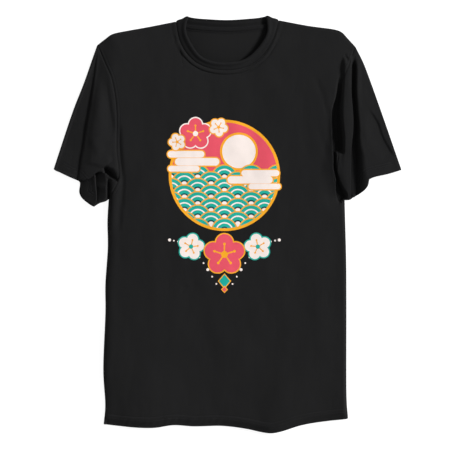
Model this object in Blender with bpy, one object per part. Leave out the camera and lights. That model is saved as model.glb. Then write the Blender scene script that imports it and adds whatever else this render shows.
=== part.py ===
"""Short-sleeved crew-neck T-shirt lying on its back, front side up, neck towards +Y.

Metres, +Z up, floor at Z = 0. Two panels, two tubular sleeves, a rib neck band and the
tape that covers the back neck seam. Left is the -X side and right is the +X side.
"""
import math

import bmesh
import bpy
import numpy as np

# Cloth.
JERSEY = 0.0015          # thickness of the panels and sleeves
RIB = 0.0024             # thickness of the doubled neck band
TAPE = 0.0008            # thickness of the neck tape
SEAM_GAP = 0.0012        # between the middles of two pieces of jersey that a seam joins
BAND_GAP = 0.0022        # between the neck seam and the middle of the thicker band's edge
ON_EDGE = 0.0003         # plan points closer than this to a seam or fold lie on it
TOUCH_GAP = 0.0004       # between the faces of two pieces that lie on each other

# Heights of the cloth's middle.
SEAM_Z = 0.0055          # side seams, shoulders and sleeve folds
FRONT_ROLL = 0.018       # plan width over which the front rises from a seam or fold
BACK_ROLL = 0.012        # plan width over which the back settles on the floor
SLEEVE_LOFT = 0.82       # loft of the sleeves as a share of the body's
LOFT_ALONG_Y = ((-0.375, -0.200, 0.150, 0.290, 0.375), (0.012, 0.015, 0.019, 0.014, 0.009))
HEM_WAVE = 0.0022        # half the height of the waves at the hem
HEM_WAVE_LENGTH = 0.240
HEM_WAVE_REACH = 0.160   # how far up from the hem the waves fade out

SIDES = ("left", "right")

# Plan outline. Every run goes from the hem towards the neck, or from the body outwards.
HEM = (
    (-0.2230, -0.3600), (-0.1950, -0.3630), (-0.1620, -0.3655), (-0.1300, -0.3655), (-0.0970, -0.3610),
    (-0.0600, -0.3635), (-0.0100, -0.3628), (0.0325, -0.3677), (0.0600, -0.3735), (0.0790, -0.3755),
    (0.0980, -0.3720), (0.1300, -0.3620), (0.1620, -0.3560), (0.2170, -0.3495),
)
HEM_DIP = HEM[9]         # where the front hem hangs lowest
SIDE_SEAM = {
    "left": ((-0.2230, -0.3600), (-0.2203, -0.3240), (-0.2238, -0.2600), (-0.2200, -0.1600),
             (-0.2200, -0.1080), (-0.2157, -0.0430), (-0.2163, 0.0050), (-0.2140, 0.0460)),
    "right": ((0.2170, -0.3495), (0.2143, -0.3000), (0.2143, -0.1500), (0.2138, -0.0650),
              (0.2120, 0.0050), (0.2110, 0.0440)),
}
ARMHOLE = {
    "left": ((-0.2140, 0.0460), (-0.1960, 0.0830), (-0.1995, 0.1350), (-0.1995, 0.2050),
             (-0.2070, 0.2570), (-0.2200, 0.2900), (-0.2345, 0.3235)),
    "right": ((0.2110, 0.0440), (0.1960, 0.0830), (0.1995, 0.1350), (0.1995, 0.2050),
              (0.2070, 0.2570), (0.2190, 0.2900), (0.2300, 0.3210)),
}
SHOULDER = {
    "left": ((-0.2345, 0.3235), (-0.2205, 0.3342), (-0.2080, 0.3430), (-0.1870, 0.3480),
             (-0.1460, 0.3553), (-0.0925, 0.3658)),
    "right": ((0.2300, 0.3210), (0.2165, 0.3355), (0.2060, 0.3465), (0.1900, 0.3520),
              (0.1460, 0.3580), (0.0915, 0.3682)),
}
SLEEVE_FOLD = {
    "left": ((-0.2345, 0.3235), (-0.2441, 0.2965), (-0.2594, 0.2532), (-0.2805, 0.1990), (-0.3133, 0.1000)),
    "right": ((0.2300, 0.3210), (0.2450, 0.2911), (0.2594, 0.2532), (0.2787, 0.1990), (0.3133, 0.0990)),
}
SLEEVE_UNDERARM = {
    "left": ((-0.2140, 0.0460), (-0.2256, 0.0398), (-0.2400, 0.0325)),
    "right": ((0.2110, 0.0440), (0.2202, 0.0446), (0.2274, 0.0492)),
}
SLEEVE_HEM_FRONT = {
    "left": ((-0.3133, 0.1000), (-0.2900, 0.0880), (-0.2690, 0.0798), (-0.2510, 0.0650), (-0.2400, 0.0325)),
    "right": ((0.3133, 0.0990), (0.2924, 0.0912), (0.2700, 0.0862), (0.2480, 0.0760), (0.2274, 0.0492)),
}
SLEEVE_HEM_BACK = {
    "left": ((-0.3133, 0.1000), (-0.2880, 0.0870), (-0.2675, 0.0690), (-0.2590, 0.0450), (-0.2400, 0.0325)),
    "right": ((0.3133, 0.0990), (0.2900, 0.0895), (0.2640, 0.0800), (0.2510, 0.0640), (0.2274, 0.0492)),
}
SLEEVE_HEMS = (SLEEVE_HEM_FRONT, SLEEVE_HEM_BACK)
NECK_SEAM_FRONT = (
    (-0.0925, 0.3658), (-0.0895, 0.3440), (-0.0800, 0.3180), (-0.0610, 0.2950), (-0.0340, 0.2815),
    (0.0000, 0.2775), (0.0350, 0.2840), (0.0620, 0.3030), (0.0785, 0.3270), (0.0875, 0.3500),
    (0.0915, 0.3682),
)
NECK_SEAM_BACK = ((-0.0925, 0.3658), (-0.0600, 0.3590), (0.0000, 0.3550), (0.0600, 0.3600), (0.0915, 0.3682))
NECK_EDGE_FRONT = (
    (-0.0710, 0.3735), (-0.0755, 0.3550), (-0.0715, 0.3360), (-0.0530, 0.3060), (-0.0300, 0.2930),
    (0.0000, 0.2900), (0.0300, 0.2955), (0.0530, 0.3140), (0.0690, 0.3370), (0.0730, 0.3540),
    (0.0700, 0.3750),
)
NECK_EDGE_BACK = ((-0.0710, 0.3735), (-0.0487, 0.3702), (0.0000, 0.3675), (0.0487, 0.3712), (0.0700, 0.3750))
NECK_SHARE = (0.32, 0.68)     # share of a panel's width where its neckline starts and ends

# The band stands up from its seam: height of its free edge above the seam's.
BAND_LIFT = {"front": 0.0012, "shoulder": 0.0035, "back": 0.0050}
TAPE_WIDTH = 0.0095
TAPE_ENDS = (0.16, 0.84)      # share of the back neckline that the flat stretch of tape covers

# Mesh rows and columns.
ROLL_ANGLES = np.radians((0, 30, 60, 90))   # round the roll at a seam or fold
SHOULDER_COLUMNS = 5                        # from a side roll to the neckline
NECK_COLUMNS = 14
BODY_ROWS = 9                               # from the hem to the underarm
ARMHOLE_ROWS = 6                            # between the underarm roll and the shoulder roll
SLEEVE_ROWS = 7
BAND_ROWS = 3
TAPE_ROWS = 2
CURVE_STEPS = 24                            # between two points of an outline, to measure along it
EDGE_POINTS = 40                            # along each closed edge
BODY_WIDTH = 0.43                           # plan width of a panel
ARMHOLE_LENGTH = 0.30
UNDERARM_SHARE = 0.60                       # share of a panel's side edge that is side seam

BLACK_JERSEY = (0.0150, 0.0150, 0.0155)
BLACK_RIB = (0.0140, 0.0140, 0.0145)
BLACK_TAPE = (0.0180, 0.0180, 0.0185)
COTTON_ROUGHNESS = 0.92


def clear_scene():
    for old in list(bpy.data.objects):
        bpy.data.objects.remove(old, do_unlink=True)


def along(points, stations):
    """Points at the given shares of the length of a smooth curve through the points."""
    knots = np.array(points, dtype=float)
    padded = np.vstack([2 * knots[0] - knots[1], knots, 2 * knots[-1] - knots[-2]])
    share = np.linspace(0.0, 1.0, CURVE_STEPS, endpoint=False)[:, None]
    runs = []
    for before, start, end, after in zip(padded, padded[1:], padded[2:], padded[3:]):
        bend = 2 * before - 5 * start + 4 * end - after
        twist = 3 * start - before - 3 * end + after
        runs.append(0.5 * (2 * start + (end - before) * share + bend * share**2 + twist * share**3))
    curve = np.vstack(runs + [knots[-1:]])
    travelled = np.concatenate([[0.0], np.cumsum(np.linalg.norm(np.diff(curve, axis=0), axis=1))])
    wanted = np.asarray(stations) * travelled[-1]
    return np.stack([np.interp(wanted, travelled, curve[:, axis]) for axis in range(2)], axis=1)


def closed_edges():
    """The plan curves where the front and the back of the shirt meet."""
    stations = np.linspace(0.0, 1.0, EDGE_POINTS)
    runs = [SIDE_SEAM, SHOULDER, SLEEVE_FOLD, SLEEVE_UNDERARM]
    return [along(run[side], stations) for run in runs for side in SIDES]


def distance_to_edges(plan, edges):
    """Shortest plan distance from each point to the curves."""
    flat = plan.reshape(-1, 1, 2)
    nearest = np.full(len(flat), np.inf)
    for curve in edges:
        start = curve[None, :-1]
        step = curve[None, 1:] - start
        share = np.clip(((flat - start) * step).sum(2) / (step**2).sum(2), 0.0, 1.0)
        gap = np.linalg.norm(flat - start - step * share[..., None], axis=2)
        nearest = np.minimum(nearest, gap.min(axis=1))
    nearest[nearest < ON_EDGE] = 0.0
    return nearest.reshape(plan.shape[:-1])


def roll(distance, radius):
    """Share of the full height at a distance from a rolled edge: a quarter of an ellipse."""
    return np.sqrt(1.0 - (1.0 - np.clip(distance / radius, 0.0, 1.0)) ** 2)


def front_height(plan, edges, loft=1.0):
    """Height of the front layer's middle over the plan points."""
    full = loft * np.interp(plan[..., 1], *LOFT_ALONG_Y)
    above_hem = plan[..., 1] - HEM[0][1]
    fade = np.clip(1.0 - above_hem / HEM_WAVE_REACH, 0.0, 1.0) ** 2
    wave = HEM_WAVE * fade * np.cos(2 * math.pi * (plan[..., 0] - HEM_DIP[0]) / HEM_WAVE_LENGTH)
    return SEAM_Z + (full + wave) * roll(distance_to_edges(plan, edges), FRONT_ROLL)


def back_height(plan, edges):
    """Height of the back layer's middle over the plan points: flat on the floor inside its rolls."""
    return SEAM_Z - (SEAM_Z - JERSEY / 2) * roll(distance_to_edges(plan, edges), BACK_ROLL)


def spanned(bottom, top, left, right, across, upward):
    """Plan grid between four edge curves, as a Coons patch with rows from bottom to top."""
    u = np.asarray(across)[None, :, None]
    v = np.asarray(upward)[:, None, None]
    ruled_up = (1 - v) * bottom[None] + v * top[None]
    ruled_across = (1 - u) * left[:, None] + u * right[:, None]
    corners = (
        (1 - u) * (1 - v) * bottom[0] + u * (1 - v) * bottom[-1]
        + (1 - u) * v * top[0] + u * v * top[-1]
    )
    return ruled_up + ruled_across - corners


def roll_steps(length):
    """Shares of a length that step round the roll at its start."""
    return FRONT_ROLL / length * (1 - np.cos(ROLL_ANGLES))


def pinned(curve, start):
    """The curve with its first point moved to start and the rest eased after it."""
    return curve + (start - curve[0]) * np.linspace(1.0, 0.0, len(curve))[:, None]


def beside(curve, gap):
    """The plan curve moved sideways by a gap, to the left of its own direction."""
    step = np.gradient(curve, axis=0)
    step /= np.linalg.norm(step, axis=1)[:, None]
    return curve + gap * np.column_stack([-step[:, 1], step[:, 0]])


def shell(name, grid, thickness, colour, ring=False):
    """Object with a cloth grid's faces given a thickness. A ring closes its columns on themselves."""
    rows, columns, _ = grid.shape
    mesh = bpy.data.meshes.new(name)
    build = bmesh.new()
    verts = [[build.verts.new(grid[row, column]) for column in range(columns)] for row in range(rows)]
    for near, far in zip(verts, verts[1:]):
        for column in range(columns if ring else columns - 1):
            after = (column + 1) % columns
            build.faces.new((near[column], near[after], far[after], far[column]))
    bmesh.ops.recalc_face_normals(build, faces=build.faces)
    build.to_mesh(mesh)
    build.free()
    mesh.shade_smooth()
    piece = bpy.data.objects.new(name, mesh)
    bpy.context.collection.objects.link(piece)
    cloth = piece.modifiers.new("thickness", "SOLIDIFY")
    cloth.thickness = thickness
    cloth.offset = 0.0
    cloth.use_quality_normals = True
    mesh.materials.append(fabric(name, colour))
    return piece


def fabric(name, colour):
    material = bpy.data.materials.new(name)
    material.use_nodes = True
    shader = material.node_tree.nodes["Principled BSDF"]
    shader.inputs["Base Color"].default_value = (*colour, 1.0)
    shader.inputs["Roughness"].default_value = COTTON_ROUGHNESS
    shader.inputs["Metallic"].default_value = 0.0
    return material


def armhole_stations():
    """Shares of an armhole's length that step round the rolls at the underarm and the shoulder."""
    turn = roll_steps(ARMHOLE_LENGTH)
    middle = np.linspace(turn[-1], 1 - turn[-1], ARMHOLE_ROWS + 1)
    return np.concatenate([turn[:-1], middle, 1 - turn[-2::-1]])


def panel_plan(neckline):
    """Plan grid of a body panel whose neckline is given, from hem to shoulders."""
    start, end = NECK_SHARE
    turn = roll_steps(BODY_WIDTH)
    shoulder = np.concatenate([turn[:-1], np.linspace(turn[-1], start, SHOULDER_COLUMNS + 1)])
    neck = np.linspace(start, end, NECK_COLUMNS + 1)
    across = np.concatenate([shoulder, neck[1:-1], 1 - shoulder[::-1]])
    top = np.vstack([
        along(SHOULDER["left"], shoulder / start),
        along(neckline, np.linspace(0.0, 1.0, NECK_COLUMNS + 1)[1:-1]),
        along(SHOULDER["right"], shoulder / start)[::-1],
    ])
    below = np.linspace(0.0, 1.0, BODY_ROWS + 1)
    above = armhole_stations()[1:]
    upward = np.concatenate([below * UNDERARM_SHARE, UNDERARM_SHARE + above * (1 - UNDERARM_SHARE)])
    sides = [np.vstack([along(SIDE_SEAM[side], below), along(ARMHOLE[side], above)]) for side in SIDES]
    return spanned(along(HEM, across), top, *sides, across, upward)


def front_panel(edges):
    plan = panel_plan(NECK_SEAM_FRONT)
    height = front_height(plan, edges)
    height[distance_to_edges(plan, edges) == 0.0] += SEAM_GAP / 2
    return shell("front_panel", np.dstack([plan, height]), JERSEY, BLACK_JERSEY)


def back_panel(edges):
    plan = panel_plan(NECK_SEAM_BACK)
    height = back_height(plan, edges)
    height[distance_to_edges(plan, edges) == 0.0] -= SEAM_GAP / 2
    return shell("back_panel", np.dstack([plan, height]), JERSEY, BLACK_JERSEY)


def sleeve(side, edges):
    """Tube whose rings run down the front layer and back along the layer under it."""
    outward = SEAM_GAP if side == "left" else -SEAM_GAP
    down = armhole_stations()
    upward = np.linspace(0.0, 1.0, SLEEVE_ROWS + 1)
    armhole = beside(along(ARMHOLE[side], down), outward)[::-1]
    fold = pinned(along(SLEEVE_FOLD[side], upward), armhole[0])
    under = pinned(along(SLEEVE_UNDERARM[side], upward), armhole[-1])
    across = 1 - down[::-1]
    plans = [spanned(armhole, along(hem[side], across), fold, under, across, upward) for hem in SLEEVE_HEMS]
    heights = [front_height(plans[0], edges, SLEEVE_LOFT), back_height(plans[1], edges)]
    for height in heights:
        height[:, [0, -1]] = SEAM_Z
    front, back = [np.dstack(layer) for layer in zip(plans, heights)]
    ring = np.concatenate([front, back[:, -2:0:-1]], axis=1)
    return shell(f"sleeve_{side}", ring, JERSEY, BLACK_JERSEY, ring=True)


def band_half(part, seam_curve, edge_curve, height_of):
    """Seam line and free edge of the band's front or back, from the left shoulder to the right."""
    stations = np.linspace(0.0, 1.0, NECK_COLUMNS + 1)
    seam = along(seam_curve, stations)
    edge = along(edge_curve, stations)
    height = height_of(seam)
    away = (edge - seam) / np.linalg.norm(edge - seam, axis=1)[:, None]
    rise = BAND_LIFT["shoulder"] + (BAND_LIFT[part] - BAND_LIFT["shoulder"]) * np.sin(math.pi * stations)
    return np.column_stack([seam + BAND_GAP * away, height]), np.column_stack([edge, height + rise])


def neck_band(edges):
    """Ring of rib between the neck seam and the free edge, down the front and back along the back."""
    front = band_half("front", NECK_SEAM_FRONT, NECK_EDGE_FRONT, lambda plan: front_height(plan, edges))
    on_floor = (RIB - JERSEY) / 2
    back = band_half("back", NECK_SEAM_BACK, NECK_EDGE_BACK, lambda plan: on_floor + back_height(plan, edges))
    seam, edge = [np.vstack([ahead, behind[-2:0:-1]]) for ahead, behind in zip(front, back)]
    rows = [seam + (edge - seam) * share for share in np.linspace(0.0, 1.0, BAND_ROWS + 1)]
    return shell("neck_band", np.array(rows), RIB, BLACK_RIB, ring=True)


def neck_tape(edges):
    """Strip on the inside of the back panel, just below the neck seam."""
    upper = along(NECK_SEAM_BACK, np.linspace(*TAPE_ENDS, NECK_COLUMNS + 1))
    rows = []
    for below in np.linspace(SEAM_GAP, SEAM_GAP + TAPE_WIDTH, TAPE_ROWS + 1):
        plan = upper - np.array([0.0, below])
        height = back_height(plan, edges) + (JERSEY + TAPE) / 2 + TOUCH_GAP
        rows.append(np.column_stack([plan, height]))
    return shell("neck_tape", np.array(rows), TAPE, BLACK_TAPE)


def main():
    clear_scene()
    edges = closed_edges()
    front_panel(edges)
    back_panel(edges)
    for side in SIDES:
        sleeve(side, edges)
    neck_band(edges)
    neck_tape(edges)


main()
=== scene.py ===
"""Looks of a black short-sleeved crew-neck T-shirt that lies on its back, front side up.

Metres, +Z up, floor at Z = 0, neck towards +Y. Left is the -X side and right is the +X side.
Seams, edges and folds are drawn in millimetres and turned into metres where they are used.
The garment is drawn flat, as a plan, and then laid: a Lay says how high the cloth is over each
plan point and how far a tucked fold carries it sideways, so that panels, sleeves, stitches and
print, which all ask the same Lay, stay joined to each other.
"""

import logging
import math
from collections.abc import Callable, Sequence
from dataclasses import dataclass
from enum import Enum

import bpy
import numpy as np
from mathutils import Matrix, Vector, noise
from mathutils.geometry import delaunay_2d_cdt

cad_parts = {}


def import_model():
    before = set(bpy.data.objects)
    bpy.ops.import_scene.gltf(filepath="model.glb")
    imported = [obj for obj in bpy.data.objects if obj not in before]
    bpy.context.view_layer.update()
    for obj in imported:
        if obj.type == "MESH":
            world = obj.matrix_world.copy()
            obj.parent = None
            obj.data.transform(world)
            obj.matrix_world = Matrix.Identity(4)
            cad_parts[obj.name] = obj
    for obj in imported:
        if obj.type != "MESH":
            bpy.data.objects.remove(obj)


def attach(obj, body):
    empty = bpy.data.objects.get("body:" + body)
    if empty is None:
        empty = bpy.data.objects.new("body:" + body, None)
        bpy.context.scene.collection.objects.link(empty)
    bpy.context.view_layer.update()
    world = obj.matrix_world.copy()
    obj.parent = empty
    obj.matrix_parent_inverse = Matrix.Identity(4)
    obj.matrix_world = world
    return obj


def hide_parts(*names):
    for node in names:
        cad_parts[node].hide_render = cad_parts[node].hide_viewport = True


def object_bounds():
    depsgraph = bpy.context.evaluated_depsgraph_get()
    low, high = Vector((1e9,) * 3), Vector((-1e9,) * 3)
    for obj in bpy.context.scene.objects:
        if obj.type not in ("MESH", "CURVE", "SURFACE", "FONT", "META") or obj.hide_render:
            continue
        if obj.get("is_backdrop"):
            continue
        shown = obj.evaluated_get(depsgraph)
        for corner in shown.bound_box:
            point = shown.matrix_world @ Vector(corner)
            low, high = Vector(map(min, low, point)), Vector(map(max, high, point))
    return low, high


log = logging.getLogger("t-shirt")

BODY = "root"
MM = 0.001
TINY = 1e-9

Points = Sequence[tuple[float, float]]
Triple = tuple[float, float, float]
Values = dict[str | int, object]
Placing = Callable[[np.ndarray], np.ndarray]
Run = float | tuple[float, ...]


class Side(Enum):
    """A side of the garment, with the sign of X there."""

    LEFT = -1
    RIGHT = 1

    @property
    def word(self) -> str:
        """The side's name in the names of pieces."""
        return self.name.lower()


class Slot(Enum):
    """Names of material slots."""

    JERSEY = "jersey"
    RIB = "rib"
    TAPE = "tape"


# ---- plan curves


def smoothstep(value: np.ndarray) -> np.ndarray:
    """Ease from 0 to 1 as the value goes from 0 to 1."""
    share = np.clip(value, 0.0, 1.0)
    return share * share * (3.0 - 2.0 * share)


def quarter_round(value: np.ndarray) -> np.ndarray:
    """Height share of a rolled edge as the value goes from 0 to 1: a quarter of an ellipse."""
    return np.sqrt(1.0 - (1.0 - np.clip(value, 0.0, 1.0)) ** 2)


def unit(vectors: np.ndarray) -> np.ndarray:
    """Vectors of length 1 in the same directions."""
    return vectors / np.maximum(np.linalg.norm(vectors, axis=-1, keepdims=True), TINY)


def near_to(points: np.ndarray, line: np.ndarray, margin: float = 0.0) -> np.ndarray:
    """Numbers of the points in the box round a line, which is grown by a margin."""
    low, high = line.min(0) - margin, line.max(0) + margin
    return np.flatnonzero(np.all((points > low) & (points < high), axis=1))


class Curve:
    """A smooth plan curve through a few points."""

    def __init__(self, points: Points | np.ndarray, steps: int = 12) -> None:
        """Sample the curve once.

        Args:
            points: Plan points in metres, in order.
            steps: Samples between two of the points.
        """
        knots = np.array(points, dtype=float)
        padded = np.vstack([2 * knots[0] - knots[1], knots, 2 * knots[-1] - knots[-2]])
        share = np.linspace(0.0, 1.0, steps, endpoint=False)[:, None]
        runs = []
        for before, start, end, after in zip(padded, padded[1:], padded[2:], padded[3:]):
            bend = 2 * before - 5 * start + 4 * end - after
            twist = 3 * start - before - 3 * end + after
            runs.append(0.5 * (2 * start + (end - before) * share + bend * share**2 + twist * share**3))
        self.line = np.vstack(runs + [knots[-1:]])
        self.steps = np.diff(self.line, axis=0)
        self.lengths = np.linalg.norm(self.steps, axis=1)
        self.travelled = np.concatenate([[0.0], np.cumsum(self.lengths)])
        self.length = float(self.travelled[-1])

    def at(self, shares: np.ndarray) -> np.ndarray:
        """Plan points at the given shares of the curve's length.

        Args:
            shares: Shares from 0 to 1.

        Returns:
            An array with one plan point for each share.
        """
        wanted = np.asarray(shares) * self.length
        return np.stack([np.interp(wanted, self.travelled, self.line[:, axis]) for axis in (0, 1)], axis=1)

    def beside(self, gap: float, shares: np.ndarray) -> np.ndarray:
        """Points of a line that runs along the curve, to the left of its direction.

        Args:
            gap: Distance from the curve; negative is to the right.
            shares: Shares of the curve's length.

        Returns:
            An array of plan points.
        """
        points = self.at(shares)
        step = unit(np.gradient(points, axis=0))
        return points + gap * np.column_stack([-step[:, 1], step[:, 0]])

    def measure(self, plan: np.ndarray) -> tuple[np.ndarray, np.ndarray]:
        """Where plan points are, seen from the curve.

        Args:
            plan: Plan points.

        Returns:
            Distances, positive to the left of the curve, and the lengths along it of the nearest points.
        """
        offset = plan[:, None] - self.line[None, :-1]
        share = np.clip((offset * self.steps).sum(2) / self.lengths**2, 0.0, 1.0)
        squared = ((offset - share[..., None] * self.steps) ** 2).sum(2)
        nearest = squared.argmin(1)
        rows = np.arange(len(plan))
        step, seen = self.steps[nearest], offset[rows, nearest]
        side = np.where(step[:, 0] * seen[:, 1] < step[:, 1] * seen[:, 0], -1.0, 1.0)
        along = self.travelled[nearest] + share[rows, nearest] * self.lengths[nearest]
        return np.sqrt(squared[rows, nearest]) * side, along


def spanned(
    bottom: np.ndarray,
    top: np.ndarray,
    left: np.ndarray,
    right: np.ndarray,
    across: np.ndarray,
    upward: np.ndarray,
) -> np.ndarray:
    """Plan grid between four edge curves.

    Args:
        bottom: First row.
        top: Last row.
        left: First column.
        right: Last column.
        across: Shares of the columns.
        upward: Shares of the rows.

    Returns:
        A grid of plan points, rows from bottom to top.
    """
    u = across[None, :, None]
    v = upward[:, None, None]
    ruled_up = (1 - v) * bottom[None] + v * top[None]
    ruled_across = (1 - u) * left[:, None] + u * right[:, None]
    lower_corners = (1 - u) * (1 - v) * bottom[0] + u * (1 - v) * bottom[-1]
    corners = lower_corners + (1 - u) * v * top[0] + u * v * top[-1]
    return ruled_up + ruled_across - corners


def graded(length: float, start: float, end: float, fine: float, coarse: float) -> np.ndarray:
    """Shares of a length, close together near its two ends.

    Args:
        length: The whole length.
        start: Length of the fine stretch at the start.
        end: Length of the fine stretch at the end.
        fine: Step in the fine stretches.
        coarse: Step between them.

    Returns:
        Shares from 0 to 1.
    """
    first = np.linspace(0.0, start, round(start / fine) + 1)
    last = np.linspace(length - end, length, round(end / fine) + 1)
    between = np.linspace(start, length - end, round((length - start - end) / coarse) + 1)
    return np.concatenate([first[:-1], between, last[1:]]) / length


@dataclass(frozen=True)
class Pattern:
    """The garment's seams and edges as plan curves, drawn in millimetres and fitted to the frame.

    Every run goes from the hem towards the neck, or from the body outwards. A roll is the width of an
    edge's lip, the lip's share of the loft and the width of the pillow behind it, in metres.
    """

    scale: np.ndarray
    shift: np.ndarray

    HEM_DIP = 79
    SIDE_ROLL = {Side.LEFT: (0.016, 0.8, 0.09), Side.RIGHT: (0.0018, 0.8, 0.06)}
    SLEEVE_ROLL = {Side.LEFT: (0.004, 0.1, 0.045), Side.RIGHT: (0.0024, 0.55, 0.07)}
    TOP_ROLL = dict.fromkeys(Side, (0.006, 0.58, 0.05))
    HEM = (
        (-223, -360), (-195, -363), (-162, -365.5), (-130, -365.5), (-97, -361),
        (-60, -363.5), (-10, -362.8), (32.5, -367.7), (60, -373.5), (79, -375.5),
        (98, -372), (130, -362), (162, -356), (217, -349.5),
    )
    SIDE_SEAM = {
        Side.LEFT: ((-223, -360), (-220.3, -324), (-223.8, -260), (-220, -160),
                    (-220, -108), (-215.7, -43), (-216.3, 5), (-214, 46)),
        Side.RIGHT: ((217, -349.5), (214.3, -300), (214.3, -150), (213.8, -65), (212, 5), (211, 44)),
    }
    ARMHOLE = {
        Side.LEFT: ((-214, 46), (-196, 83), (-199.5, 135), (-199.5, 205),
                    (-207, 257), (-220, 290), (-234.5, 323.5)),
        Side.RIGHT: ((211, 44), (196, 83), (199.5, 135), (199.5, 205), (207, 257), (219, 290), (230, 321)),
    }
    SHOULDER = {
        Side.LEFT: ((-234.5, 323.5), (-220.5, 334.2), (-208, 343), (-187, 348),
                    (-146, 355.3), (-92.5, 365.8)),
        Side.RIGHT: ((230, 321), (216.5, 335.5), (206, 346.5), (190, 352), (146, 358), (91.5, 368.2)),
    }
    SLEEVE_FOLD = {
        Side.LEFT: ((-234.5, 323.5), (-244.1, 296.5), (-259.4, 253.2), (-280.5, 199), (-313.3, 100)),
        Side.RIGHT: ((230, 321), (245, 291.1), (259.4, 253.2), (278.7, 199), (313.3, 99)),
    }
    UNDERARM = {
        Side.LEFT: ((-214, 46), (-220, 42), (-231, 38.5), (-241, 32.2)),
        Side.RIGHT: ((211, 44), (220.2, 44.6), (227.4, 49.2)),
    }
    SLEEVE_HEM_FRONT = {
        Side.LEFT: ((-313.3, 100), (-290, 89), (-270.5, 80.8), (-266.2, 78.2), (-264.5, 74),
                    (-265.2, 60), (-260.5, 49), (-250, 39.5), (-241, 32.2)),
        Side.RIGHT: ((313.3, 99), (292.4, 93.5), (269, 88.5), (255.5, 83.5), (251.5, 70),
                     (243, 60), (227.4, 49.2)),
    }
    SLEEVE_HEM_BACK = {
        Side.LEFT: ((-313.3, 100), (-288, 87.7), (-270.5, 80.2), (-266.8, 77.8), (-265.8, 73),
                    (-267.2, 59), (-262.5, 48.5), (-251, 38.5), (-241, 32.2)),
        Side.RIGHT: ((313.3, 99), (290, 92), (264, 86), (253, 79), (250, 66), (240, 57), (227.4, 49.2)),
    }
    NECK_SEAM_FRONT = (
        (-92.5, 365.8), (-89.5, 344), (-80, 318), (-61, 295), (-34, 281.5),
        (0, 277.5), (35, 284), (62, 303), (78.5, 327), (87.5, 350), (91.5, 368.2),
    )
    NECK_SEAM_BACK = ((-92.5, 365.8), (-60, 359), (0, 355), (60, 360), (91.5, 368.2))
    NECK_EDGE_FRONT = (
        (-71, 373.5), (-75.5, 355), (-71.5, 336), (-53, 306), (-30, 293),
        (0, 290), (30, 295.5), (53, 314), (69, 337), (73, 354), (70, 375),
    )
    NECK_EDGE_BACK = ((-71, 373.5), (-48.7, 370.2), (0, 367.5), (48.7, 371.2), (70, 375))

    @classmethod
    def fitted(cls, low: Vector, high: Vector, cloth: float) -> "Pattern":
        """Scale the drawing to the frame's box.

        Args:
            low: Lowest corner of the frame.
            high: Highest corner of the frame.
            cloth: Thickness of the cloth, half of which stands out at each side.

        Returns:
            The pattern at the frame's size.
        """
        runs = [*cls.SLEEVE_FOLD.values(), cls.HEM, cls.NECK_EDGE_BACK]
        drawn = np.vstack([Curve(np.array(run) * MM).line for run in runs])
        box = np.array([low[:2], high[:2]]) + np.array([[cloth / 2], [-cloth / 2]])
        scale = (box[1] - box[0]) / (drawn.max(0) - drawn.min(0))
        return cls(scale, box[0] - scale * drawn.min(0))

    def curve(self, points: Points) -> Curve:
        """A run that is drawn in millimetres, as a curve at the frame's size."""
        return Curve(np.array(points) * MM * self.scale + self.shift)

    def closed_edges(self) -> list["Edge"]:
        """The edges where the front and the back of the shirt meet, with the roll of the cloth at each."""
        rolls = (
            (self.SIDE_SEAM, self.SIDE_ROLL),
            (self.SLEEVE_FOLD, self.SLEEVE_ROLL),
            (self.SHOULDER, self.TOP_ROLL),
            (self.UNDERARM, self.TOP_ROLL),
        )
        return [Edge(self.curve(run[side]), *roll[side]) for run, roll in rolls for side in Side]


@dataclass(frozen=True)
class Edge:
    """A closed edge.

    The cloth rolls up in a narrow lip to a share of its loft, and then fills out over the pillow's width.
    """

    curve: Curve
    lip: float
    lip_share: float
    pillow: float

    def filled(self, distance: np.ndarray) -> np.ndarray:
        """Share of the loft at distances from the edge."""
        pillow = smoothstep(distance / self.pillow)
        return self.lip_share * quarter_round(distance / self.lip) + (1 - self.lip_share) * pillow


# ---- how the cloth lies


def run_at(run: Run, progress: np.ndarray) -> np.ndarray:
    """A size that is even, or given at even steps along a path, at shares of the path's length."""
    sizes = np.atleast_1d(run)
    return np.interp(progress, np.linspace(0.0, 1.0, len(sizes)), sizes)


class Slope(Enum):
    """Profile of the slope beside a fold, from its foot outwards."""

    SOFT = "eased at both ends"
    EVEN = "straight"
    ROUND = "steepest at its foot"

    def left_over(self, value: np.ndarray) -> np.ndarray:
        """Share of the fold that is left.

        Args:
            value: 0 at the slope's foot and 1 at its end.

        Returns:
            Shares from 1 to 0.
        """
        if self is Slope.SOFT:
            return 1.0 - smoothstep(value)
        even = 1.0 - np.clip(value, 0.0, 1.0)
        return even if self is Slope.EVEN else even**2


@dataclass(frozen=True)
class Flank:
    """One side of a fold: the widths of a flat part beside its path and of the slope after it.

    All are in millimetres. The tuck is how far the flat part's border is carried outwards, under or over
    the slope.
    """

    reach: Run = 0
    fall: Run = 10
    tuck: float = 0
    slope: Slope = Slope.SOFT

    def widest(self) -> float:
        """How far from the path the slope can end, in metres."""
        return float(np.max(self.reach) + np.max(self.fall)) * MM


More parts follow.
